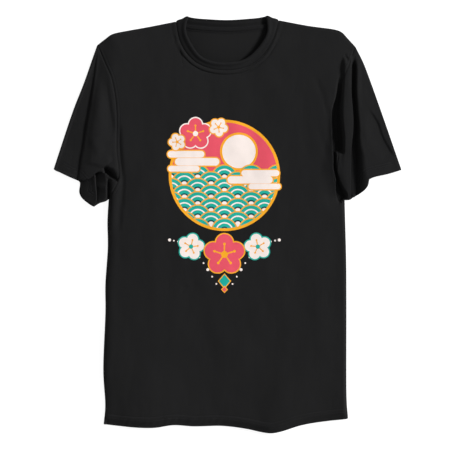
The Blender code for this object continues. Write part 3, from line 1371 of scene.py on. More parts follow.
@dataclass
class Sleeve:
    """One short sleeve: a tube that lies flat, with its turned-up hem."""

    shop: Wardrobe
    side: Side
    thickness: float = 0.001
    hem_width: float = 0.018
    hem_gap: float = 0.00115
    seam_gap: float = 0.0003
    allowance: float = 0.0022
    allowance_gap: float = 0.00125
    armhole_length: float = 0.3
    rows: int = 140

    FRONT_STEPS = (0.008, 0.08, 0.0011, 0.0025)
    BACK_STEPS = (0.012, 0.012, 0.0022, 0.008)

    def layer(self, hem: Points, across: np.ndarray, upward: np.ndarray) -> np.ndarray:
        """Plan grid of one layer, rows from the armhole to the hem, columns from the fold to the underarm.

        Args:
            hem: Drawn run of the layer's hem.
            across: Shares of the columns.
            upward: Shares of the rows.

        Returns:
            The grid.
        """
        pattern = self.shop.pattern
        outward = -self.side.value * self.seam_gap
        down = 1 - across[::-1]
        armhole = pattern.curve(pattern.ARMHOLE[self.side]).beside(outward, down)[::-1]
        edges = []
        for run, corner in ((pattern.SLEEVE_FOLD, armhole[0]), (pattern.UNDERARM, armhole[-1])):
            edge = pattern.curve(run[self.side]).at(upward)
            edges.append(edge + (corner - edge[0]) * (1 - upward)[:, None] ** 4)
        return spanned(armhole, pattern.curve(hem).at(across), *edges, across, upward)

    def build(self) -> bpy.types.Object:
        """Returns:
            The object.
        """
        pattern, lay = self.shop.pattern, self.shop.lay
        upward = np.linspace(0.0, 1.0, self.rows + 1)
        front_across = graded(self.armhole_length, *self.FRONT_STEPS)
        back_across = graded(self.armhole_length, *self.BACK_STEPS)
        front_plan = self.layer(pattern.SLEEVE_HEM_FRONT[self.side], front_across, upward)
        back_plan = self.layer(pattern.SLEEVE_HEM_BACK[self.side], back_across, upward)
        front = lay.front(front_plan.reshape(-1, 2)).reshape(*front_plan.shape[:2], 3)
        back = lay.back(back_plan.reshape(-1, 2)).reshape(*back_plan.shape[:2], 3)
        front[:, [0, -1], 2] = lay.SEAM_Z
        ring = np.concatenate([front, back[:, -2:0:-1]], axis=1)[::-1]
        inward = tube_normals(ring)
        inward *= -np.sign(inward[:, :front.shape[1], 2].sum())
        ring = with_allowance(ring, inward[-1], self.allowance, self.allowance_gap)
        ring = turned_up(ring, inward, self.hem_width, self.hem_gap)
        piece = cloth(f"{self.side.word}_sleeve_jersey", ring, self.thickness, self.shop.jersey, ring=True)
        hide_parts(f"sleeve_{self.side.word}")
        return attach(piece, BODY)


@dataclass
class Collar:
    """Crew-neck band: a strip of rib folded in two along its free edge and sewn to the neckline."""

    shop: Wardrobe
    thickness: float = 0.001
    layer_gap: float = 0.00125
    rib_pitch: float = 0.0021
    rib_height: float = 0.00013
    columns_per_rib: int = 6
    steps: int = 10
    seam_gap: float = 0.0004
    seam_dip: float = 0.0015
    allowance: float = 0.002
    front_lift: Run = (0.0052, 0.0052, 0.0026, 0.0008, 0.0014)
    back_lift: Run = (0.0052, 0.004, 0.003, 0.0022, 0.0014)

    SECTION = (
        (0.0, 0.0), (0.1, 0.0006), (0.24, 0.0007), (0.45, 0.0003),
        (0.62, 0.0006), (0.78, 0.0013), (0.9, 0.0013), (1.0, 0.0004),
    )
    RIB_AT_SEAM = 0.2
    RIB_GROWTH = 4
    EVENING_ROUNDS = 30

    def half(self, seam_run: Points, edge_run: Points, placing: Placing, lift: Run) -> list[np.ndarray]:
        """Seam line and free edge of the band's front or back half.

        Args:
            seam_run: Drawn run of the neck seam.
            edge_run: Drawn run of the free edge.
            placing: Where the neckline's plan points are in space.
            lift: Height of the free edge over the seam, from the left shoulder to the right.

        Returns:
            Seam points and edge points, from the left shoulder to the right.
        """
        pattern = self.shop.pattern
        seam_curve, edge_curve = pattern.curve(seam_run), pattern.curve(edge_run)
        count = round(seam_curve.length / self.rib_pitch) * self.columns_per_rib
        shares = np.linspace(0.0, 1.0, count + 1)
        seam, edge = seam_curve.at(shares), edge_curve.at(shares)
        away = unit(edge - seam)
        height = placing(seam)[:, 2]
        rise = run_at(lift, shares)
        dip = self.seam_dip * np.sin(math.pi * shares) ** 0.5
        sewn = np.column_stack([seam + self.seam_gap * away, height - dip])
        return [sewn, np.column_stack([edge, height + rise])]

    def build(self) -> bpy.types.Object:
        """Returns:
            The object.
        """
        pattern, lay = self.shop.pattern, self.shop.lay
        front = self.half(pattern.NECK_SEAM_FRONT, pattern.NECK_EDGE_FRONT, lay.front, self.front_lift)
        back = self.half(pattern.NECK_SEAM_BACK, pattern.NECK_EDGE_BACK, lay.back, self.back_lift)
        seam, edge = [np.vstack([ahead, behind[-2:0:-1]]) for ahead, behind in zip(front, back)]
        width = edge - seam
        run = np.roll(seam, -1, axis=0) - np.roll(seam, 1, axis=0)
        outer = self.evened(np.cross(run, width))
        across = unit(width)
        rib = self.rib_height * np.cos(2 * math.pi * np.arange(len(seam)) / self.columns_per_rib)[:, None]
        half_gap = self.layer_gap / 2
        section = Curve(self.SECTION).at(np.linspace(0.0, 1.0, self.steps + 1))
        layers = []
        for face in (1, -1):
            layer = []
            for share, arch in section:
                ribbed = rib * min(1.0, self.RIB_GROWTH * share + self.RIB_AT_SEAM)
                layer.append(seam + width * share + outer * (arch + face * (half_gap + ribbed)))
            layers.append(layer)
        rows = [*layers[0], edge + across * (half_gap + rib), *layers[1][::-1]]
        rows = with_allowance(np.array(rows)[::-1], -outer, self.allowance, self.layer_gap)
        piece = cloth("collar_rib", rows, self.thickness, self.shop.rib, ring=True)
        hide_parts("neck_band")
        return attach(piece, BODY)

    @staticmethod
    def evened(directions: np.ndarray) -> np.ndarray:
        """Directions round a ring, smoothed so that they turn softly at the shoulders.

        Args:
            directions: A vector for each point of the ring.

        Returns:
            Unit vectors.
        """
        for _ in range(Collar.EVENING_ROUNDS):
            directions = unit(directions)
            before, after = [np.roll(directions, step, axis=0) for step in (1, -1)]
            directions = (before + 2 * directions + after) / 4
        return unit(directions)


@dataclass
class NeckTape:
    """Twill tape that covers the back neck seam on the inside."""

    shop: Wardrobe
    thickness: float = 0.0007
    ends: tuple[float, float] = (0.1, 0.9)
    upper: float = 0.0003
    width: float = 0.0102
    over: float = 0.001
    ridge: float = 0.0015
    ridge_width: float = 0.0054
    ridge_slope: float = 0.0018
    ridge_start: float = 0.55
    ridge_rounding: float = 0.0022
    columns: int = 91
    rows: int = 15

    def place(self, plan: np.ndarray) -> np.ndarray:
        """Where plan points of the tape are: flat on the panel, raised over the seam allowance.

        Args:
            plan: Plan points.

        Returns:
            Points in space, on the middle of the tape.
        """
        pattern = self.shop.pattern
        laid = self.shop.lay.back(plan)
        below = -pattern.curve(pattern.NECK_SEAM_BACK).measure(plan)[0]
        foot = smoothstep((self.ridge_width + self.ridge_slope - below) / self.ridge_slope)
        rounded = self.ridge_start + (1 - self.ridge_start) * smoothstep(below / self.ridge_rounding)
        laid[:, 2] += self.over + self.ridge * foot * rounded
        return laid

    def lines(self, shares: np.ndarray) -> np.ndarray:
        """Plan lines along the tape.

        Args:
            shares: Where they are, as shares of its width from the top.

        Returns:
            A row of plan points for each share.
        """
        pattern = self.shop.pattern
        upper = pattern.curve(pattern.NECK_SEAM_BACK).at(np.linspace(*self.ends, self.columns))
        return np.array([upper + (0.0, self.upper - self.width * share) for share in shares])

    def build(self) -> bpy.types.Object:
        """Returns:
            The object.
        """
        plan = self.lines(np.linspace(0.0, 1.0, self.rows))
        laid = self.place(plan.reshape(-1, 2)).reshape(*plan.shape[:2], 3)
        piece = cloth("neck_tape_twill", laid, self.thickness, self.shop.tape)
        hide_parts("neck_tape")
        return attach(piece, BODY)


# ---- the print


class Ink(Enum):
    """Inks of the print: linear red, green and blue."""

    AMBER = (0.93, 0.4, 0.012)
    TEAL = (0.006, 0.41, 0.33)
    CORAL = (0.8, 0.085, 0.13)
    CREAM = (0.94, 0.83, 0.78)
    NIGHT = (0.002, 0.036, 0.04)


@dataclass(frozen=True)
class Motif:
    """One closed shape of the print, cut by a window where it has one."""

    ink: Ink
    outline: np.ndarray
    window: np.ndarray | None = None

    def covers(self, points: np.ndarray) -> np.ndarray:
        """Which points the shape covers.

        Args:
            points: Points about the print's centre.

        Returns:
            True for each point that is covered.
        """
        held = inside(points, self.outline)
        if self.window is not None:
            held[held] = inside(points[held], self.window)
        return held


def round_outline(centre: Sequence[float], radius: float, step: float = 0.002) -> np.ndarray:
    """Outline of a disc.

    Args:
        centre: Its middle.
        radius: Its radius.
        step: About how far apart the outline's points are.

    Returns:
        Points of the outline.
    """
    count = max(10, round(2 * math.pi * radius / step))
    angles = np.linspace(0.0, 2 * math.pi, count, endpoint=False)
    return np.array(centre) + radius * np.column_stack([np.cos(angles), np.sin(angles)])


def bar_outline(start: float, end: float, height: float, radius: float) -> np.ndarray:
    """Outline of a level bar with round ends.

    Args:
        start: Where the middle line starts.
        end: Where it ends.
        height: Its height.
        radius: Half the bar's width.

    Returns:
        Points of the outline.
    """
    cap_step, side_step = 0.0018, 0.003
    count = max(6, round(math.pi * radius / cap_step))
    turn = np.linspace(-math.pi / 2, math.pi / 2, count)
    cap = radius * np.column_stack([np.cos(turn), np.sin(turn)])
    side = np.linspace(end, start, max(3, round((end - start) / side_step)))[1:-1]
    upper = np.column_stack([side, np.full(len(side), height + radius)])
    lower = np.column_stack([side[::-1], np.full(len(side), height - radius)])
    return np.vstack([cap + (end, height), upper, -cap + (start, height), lower])


def inside(points: np.ndarray, outline: np.ndarray) -> np.ndarray:
    """Which points a closed outline holds.

    Args:
        points: The points.
        outline: Points of the outline.

    Returns:
        True for each point inside.
    """
    result = np.zeros(len(points), dtype=bool)
    near = near_to(points, outline)
    if not len(near):
        return result
    x, y = points[near, 0:1], points[near, 1:2]
    start, end = outline, np.roll(outline, -1, axis=0)
    crosses = (start[:, 1] > y) != (end[:, 1] > y)
    with np.errstate(divide="ignore", invalid="ignore"):
        where = start[:, 0] + (y - start[:, 1]) * (end[:, 0] - start[:, 0]) / (end[:, 1] - start[:, 1])
    result[near] = (crosses & (x < where)).sum(1) % 2 == 1
    return result


@dataclass
class Print:
    """Screen print on the chest: a round seal of sea waves under a sun, with plum blossoms.

    All of it is old common ornament, drawn here from circles and bars about the print's centre.
    """

    shop: Wardrobe
    centre: tuple[float, float] = (-0.0055, 0.0365)
    seal: tuple[float, float] = (0.0, 0.052)
    seal_radius: float = 0.1
    rim: float = 0.005
    scale_radius: float = 0.024
    line: float = 0.0022
    film: float = 0.00012
    over: float = 0.00066
    cell: float = 0.0042

    SUN = (0.026, 0.043)
    SUN_RADII = (0.034, 0.03)
    WAVE_ROWS = 9
    WAVE_COLUMNS = range(-3, 4)
    WAVE_TOP = -0.004
    PETAL = 0.42
    MIDDLE = 0.4
    STAMEN = 0.52
    FILAMENT = 0.022
    ANTHER = 0.055
    LEAST = 0.0004
    HEART = 0.17
    BEADS = 12
    BEAD = 0.0016
    BIG_BEAD = 0.0011
    HANGING = {
        -1: ((-0.06, -0.076), 0.0235, Ink.CREAM, Ink.TEAL, 78),
        1: ((0.06, -0.076), 0.0235, Ink.CREAM, Ink.TEAL, 102),
    }
    PENDANT = ((0.0, -0.09), 0.0365, Ink.CORAL, Ink.AMBER, 90)
    STRING_START = (0.0985, -0.064)
    STRING_RUN = (-0.084, -0.079)
    STRING_BOW = 0.021
    DIAMONDS = ((-0.138, 0.01, 0.012, Ink.TEAL), (-0.153, 0.0042, 0.0045, Ink.CORAL))
    BANKS = (
        ((-0.096, -0.042, 0.09, 0.006), (-0.082, -0.016, 0.0765, 0.0068),
         (-0.096, -0.05, 0.064, 0.0052)),
        ((0.036, 0.093, 0.056, 0.0056), (0.012, 0.08, 0.044, 0.0066),
         (0.048, 0.096, 0.032, 0.005)),
    )
    BLOSSOMS = (
        ((-0.052, 0.127), 0.028, Ink.CORAL, Ink.CREAM, 90),
        ((-0.0105, 0.1385), 0.0165, Ink.CREAM, Ink.AMBER, 60),
        ((-0.085, 0.112), 0.015, Ink.CREAM, Ink.AMBER, 110),
    )
    PROBES = (0.1, 0.5, 0.9)
    SIDESTEP = 0.00005
    MERGE = 1e-6

    def seal_motifs(self) -> list[Motif]:
        """The seal's rim, sky and sun.

        Returns:
            The motifs, undermost first.
        """
        sun = (self.seal[0] + self.SUN[0], self.seal[1] + self.SUN[1])
        rim, face = self.SUN_RADII
        return [
            Motif(Ink.AMBER, round_outline(self.seal, self.seal_radius)),
            Motif(Ink.CORAL, round_outline(self.seal, self.seal_radius - self.rim)),
            Motif(Ink.AMBER, round_outline(sun, rim)),
            Motif(Ink.CREAM, round_outline(sun, face)),
        ]

    def waves(self) -> list[Motif]:
        """Rows of overlapping wave scales in the lower half of the seal.

        Returns:
            The motifs, undermost first.
        """
        window = round_outline(self.seal, self.seal_radius - self.rim)
        rings = (
            (0.0, Ink.AMBER), (self.line, Ink.TEAL), (0.008, Ink.CREAM),
            (0.0105, Ink.TEAL), (0.016, Ink.NIGHT), (0.0185, Ink.CREAM),
        )
        pitch, motifs = self.scale_radius * 2, []
        for row in range(self.WAVE_ROWS):
            level = self.seal[1] + self.WAVE_TOP - row * self.scale_radius * 0.5
            offset = 0.5 * (row % 2)
            for column in self.WAVE_COLUMNS:
                middle = (self.seal[0] + (column + offset) * pitch, level)
                for inset, ink in rings:
                    motifs.append(Motif(ink, round_outline(middle, self.scale_radius - inset), window))
        return motifs

    def cloud(self, bars: Sequence[tuple[float, float, float, float]]) -> list[Motif]:
        """A bank of mist: level bars with round ends, outlined together.

        Args:
            bars: Start, end, height and radius of each bar.

        Returns:
            The motifs, outline first.
        """
        grown = [Motif(Ink.AMBER, bar_outline(a, b, y, r + self.line)) for a, b, y, r in bars]
        return grown + [Motif(Ink.CREAM, bar_outline(a, b, y, r)) for a, b, y, r in bars]

    def blossom(
        self, centre: tuple[float, float], radius: float, petal: Ink, edge: Ink, turn: float
    ) -> list[Motif]:
        """A plum blossom: five round petals, stamens and a heart.

        Args:
            centre: Its middle.
            radius: Distance from there to the petals' tips.
            petal: Ink of the petals.
            edge: Ink of their outlines.
            turn: Angle of the first petal in degrees.

        Returns:
            The motifs.
        """
        size = self.PETAL * radius
        angles = [math.radians(turn + 72 * petal_number) for petal_number in range(5)]
        spots = [np.array(centre) + (radius - size) * np.array([math.cos(a), math.sin(a)]) for a in angles]
        motifs = [Motif(edge, round_outline(spot, size + self.line)) for spot in spots]
        motifs += [Motif(petal, round_outline(spot, size)) for spot in spots]
        motifs.append(Motif(petal, round_outline(centre, self.MIDDLE * radius)))
        for angle in angles:
            tip = np.array(centre) + self.STAMEN * radius * np.array([math.cos(angle), math.sin(angle)])
            filament = self.bar_between(centre, tip, self.FILAMENT * radius + self.LEAST)
            anther = round_outline(tip, self.ANTHER * radius + self.LEAST, step=0.0008)
            motifs += [Motif(Ink.AMBER, filament), Motif(Ink.AMBER, anther)]
        motifs.append(Motif(edge, round_outline(centre, self.HEART * radius)))
        return motifs

    @staticmethod
    def bar_between(start: Sequence[float], end: Sequence[float], radius: float) -> np.ndarray:
        """Outline of a narrow bar between two points.

        Args:
            start: One end.
            end: The other end.
            radius: Half the bar's width.

        Returns:
            Points of the outline.
        """
        start, end = np.array(start), np.array(end)
        ahead = unit(end - start)
        aside = radius * np.array([-ahead[1], ahead[0]])
        along = [start + (end - start) * share for share in (0.0, 0.33, 0.66, 1.0)]
        return np.array([p + aside for p in along] + [p - aside for p in along[::-1]])

    @staticmethod
    def diamond(centre: tuple[float, float], width: float, height: float) -> np.ndarray:
        """Outline of an upright diamond.

        Args:
            centre: Its middle.
            width: Half its width.
            height: Half its height.

        Returns:
            Points of the outline.
        """
        x, y = centre
        corners = np.array([(x + width, y), (x, y + height), (x - width, y), (x, y - height)])
        shares = np.linspace(0.0, 1.0, 6, endpoint=False)[:, None]
        return np.vstack([a + (b - a) * shares for a, b in zip(corners, np.roll(corners, -1, axis=0))])

    def garland(self) -> list[Motif]:
        """Blossoms, diamonds and strings of beads that hang under the seal.

        Returns:
            The motifs, undermost first.
        """
        motifs = []
        for side, blossom in self.HANGING.items():
            for bead in range(self.BEADS):
                share = bead / (self.BEADS - 1)
                x, y = [start + run * share for start, run in zip(self.STRING_START, self.STRING_RUN)]
                x, y = side * x, y + self.STRING_BOW * math.sin(math.pi * share)
                size = self.BEAD + self.BIG_BEAD * (bead % 3 == 0)
                motifs.append(Motif(Ink.CREAM, round_outline((x, y), size, step=0.001)))
            motifs += self.blossom(*blossom)
        motifs += self.blossom(*self.PENDANT)
        for height, width, tall, ink in self.DIAMONDS:
            motifs.append(Motif(Ink.AMBER, self.diamond((0.0, height), width + self.line, tall + self.line)))
            motifs.append(Motif(ink, self.diamond((0.0, height), width, tall)))
        return motifs

    def motifs(self) -> list[Motif]:
        """The whole design.

        Returns:
            The motifs, undermost first.
        """
        motifs = self.seal_motifs() + self.waves()
        for bars in self.BANKS:
            motifs += self.cloud(bars)
        for blossom in self.BLOSSOMS:
            motifs += self.blossom(*blossom)
        return motifs + self.garland()

    @staticmethod
    def inks_at(points: np.ndarray, motifs: list[Motif]) -> np.ndarray:
        """The uppermost ink at each point.

        Args:
            points: Points about the print's centre.
            motifs: The design.

        Returns:
            The ink's number, or -1 where there is none.
        """
        inks = list(Ink)
        found = np.full(len(points), -1)
        for motif in reversed(motifs):
            free = np.flatnonzero(found < 0)
            found[free[motif.covers(points[free])]] = inks.index(motif.ink)
        return found

    def borders(self, motifs: list[Motif]) -> tuple[np.ndarray, np.ndarray]:
        """The parts of all outlines at which the ink changes.

        Args:
            motifs: The design.

        Returns:
            Start points and end points of the parts.
        """
        outlines = [motif.outline for motif in motifs]
        starts = np.vstack(outlines)
        ends = np.vstack([np.roll(outline, -1, axis=0) for outline in outlines])
        step = ends - starts
        aside = self.SIDESTEP * unit(np.column_stack([-step[:, 1], step[:, 0]]))
        differs = np.zeros(len(starts), dtype=bool)
        for share in self.PROBES:
            middle = starts + share * step
            differs |= self.inks_at(middle + aside, motifs) != self.inks_at(middle - aside, motifs)
        return starts[differs], ends[differs]

    def cut(self) -> tuple[np.ndarray, list[list[int]], list[int]]:
        """Cut the design into triangles of one ink each.

        Returns:
            Plan points about the print's centre, triangles, and the number of each triangle's ink.
        """
        motifs = self.motifs()
        starts, ends = self.borders(motifs)
        low, high = starts.min(0), starts.max(0)
        lattice = np.meshgrid(*[np.arange(a, b, self.cell) for a, b in zip(low, high)])
        filling = np.stack(lattice, axis=2).reshape(-1, 2)
        points = [Vector(point) for point in np.vstack([starts, ends, filling]).tolist()]
        lines = [(number, number + len(starts)) for number in range(len(starts))]
        verts, _, faces, *_ = delaunay_2d_cdt(points, lines, [], 0, self.MERGE, False)
        plan = np.array([tuple(vert) for vert in verts])
        corners = np.array([tuple(face) for face in faces])
        inks = self.inks_at(plan[corners].mean(1), motifs)
        kept = inks >= 0
        used, renumbered = np.unique(corners[kept], return_inverse=True)
        return plan[used], renumbered.reshape(-1, 3).tolist(), inks[kept].tolist()

    def build(self) -> bpy.types.Object:
        """Make the film of ink on the front panel.

        Returns:
            The object.
        """
        plan, triangles, inks = self.cut()
        laid = self.shop.lay.front(plan * self.shop.pattern.scale + self.centre)
        laid[:, 2] += self.over
        finishes = [InkFinish(f"{ink.name.lower()}_ink", ink.value).make() for ink in Ink]
        piece = object_from("front_print", laid, triangles, *finishes)
        piece.data.polygons.foreach_set("material_index", inks)
        film = piece.modifiers.new("film", "SOLIDIFY")
        film.thickness = self.film
        film.offset = -1.0
        applied(piece, crease=50.0)
        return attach(piece, BODY)


# ---- seams


@dataclass
class Seams:
    """Every visible row of stitches, and the lines that they press into the cloth."""

    pattern: Pattern

    HEM_NEEDLES = (0.0126, 0.018)
    SLEEVE_NEEDLES = (0.0128, 0.0172)
    NECK_NEEDLES = (-0.0018, -0.0082)
    ARMHOLE_NEEDLE = 0.0052
    SHOULDER_NEEDLE = 0.003
    DENT = (0.42, 1.6)
    ARMHOLE_DENT = (1.2, 2.6)
    NECK_DENTS = ((0, 1.8, 3.4), (-1.8, 0.3, 1.6), (-8.2, 1.3, 3))
    SPACING = 0.005
    THREAD_STAND = 0.00012
    SHORT = 0.0023
    FINE = 0.00022
    TAPE_ROWS = (0.1, 0.62)

    def shares(self, curve: Curve) -> np.ndarray:
        """Shares of a curve, evenly spaced."""
        return np.linspace(0.0, 1.0, max(8, round(curve.length / self.SPACING)))

    def beside(self, run: Points, insets: Sequence[float], start: int, end: int) -> list[np.ndarray]:
        """Needle lines beside a drawn run.

        Args:
            run: The drawn run.
            insets: Distance of each line, positive to the left of the run.
            start: Number of points to leave out at the run's start.
            end: Number of points to leave out at its end.

        Returns:
            Plan points of each line.
        """
        curve = self.pattern.curve(run)
        return [curve.beside(inset, self.shares(curve))[start:-end] for inset in insets]

    def hem_lines(self) -> list[np.ndarray]:
        """Needle lines of the body's hem."""
        return self.beside(self.pattern.HEM, self.HEM_NEEDLES, 1, 1)

    def sleeve_lines(self, side: Side) -> list[np.ndarray]:
        """Needle lines of a sleeve's hem, in front."""
        insets = [-side.value * inset for inset in self.SLEEVE_NEEDLES]
        return self.beside(self.pattern.SLEEVE_HEM_FRONT[side], insets, 2, 3)

    def neck_lines(self) -> list[np.ndarray]:
        """Needle lines of the cover stitch round the front of the neck."""
        return self.beside(self.pattern.NECK_SEAM_FRONT, self.NECK_NEEDLES, 2, 2)

    def body_lines(self, side: Side) -> list[np.ndarray]:
        """Topstitch on the body beside an armhole seam, and in front of a shoulder seam."""
        armhole = self.beside(self.pattern.ARMHOLE[side], [side.value * self.ARMHOLE_NEEDLE], 3, 2)
        return armhole + self.beside(self.pattern.SHOULDER[side], [side.value * self.SHOULDER_NEEDLE], 3, 2)

    def dents(self) -> list[Fold]:
        """Lines that the front's stitches and seams press into the cloth.

        Returns:
            Narrow folds.
        """
        lines = self.hem_lines()
        for side in Side:
            lines += self.sleeve_lines(side) + self.body_lines(side)
        rows = [pressed(Curve(line, 2), *self.DENT) for line in lines]
        seams = [self.pattern.curve(self.pattern.ARMHOLE[side]) for side in Side]
        armholes = [pressed(seam, *self.ARMHOLE_DENT) for seam in seams]
        neck = self.pattern.curve(self.pattern.NECK_SEAM_FRONT)
        shares = self.shares(neck)
        neck_rows = [Curve(neck.beside(gap * MM, shares), 2) for gap, *_ in self.NECK_DENTS]
        necks = [pressed(row, *dent) for row, (_, *dent) in zip(neck_rows, self.NECK_DENTS)]
        return [*rows, *armholes, *necks]

    def sewn(self, shop: Wardrobe, tape: NeckTape) -> list[bpy.types.Object]:
        """Sew all rows.

        Args:
            shop: What the garment's parts share.
            tape: The neck tape, which is sewn down along both edges.

        Returns:
            The pieces of stitching.
        """
        lay = shop.lay
        face = lay.JERSEY / 2 + self.THREAD_STAND
        body = Seamstress("hem_stitching", shop.thread, Stitching())
        for line in self.hem_lines():
            body.sew(lay.front, line, face)
            body.sew(lay.back, line, -face)
        sleeves = Seamstress("sleeve_hem_stitching", shop.thread, Stitching())
        for side in Side:
            for line in self.sleeve_lines(side):
                sleeves.sew(lay.front, line, face)
        neck = Seamstress("neck_stitching", shop.thread, Stitching(length=self.SHORT))
        for line in self.neck_lines():
            neck.sew(lay.front, line, face)
        for line in tape.lines(np.array(self.TAPE_ROWS)):
            neck.sew(tape.place, line, tape.thickness / 2 + self.THREAD_STAND)
        seams = Seamstress("seam_stitching", shop.thread, Stitching(length=self.SHORT, radius=self.FINE))
        for side in Side:
            for line in self.body_lines(side):
                seams.sew(lay.front, line, face)
        return [sewer.done() for sewer in (body, sleeves, neck, seams)]


# ---- folds


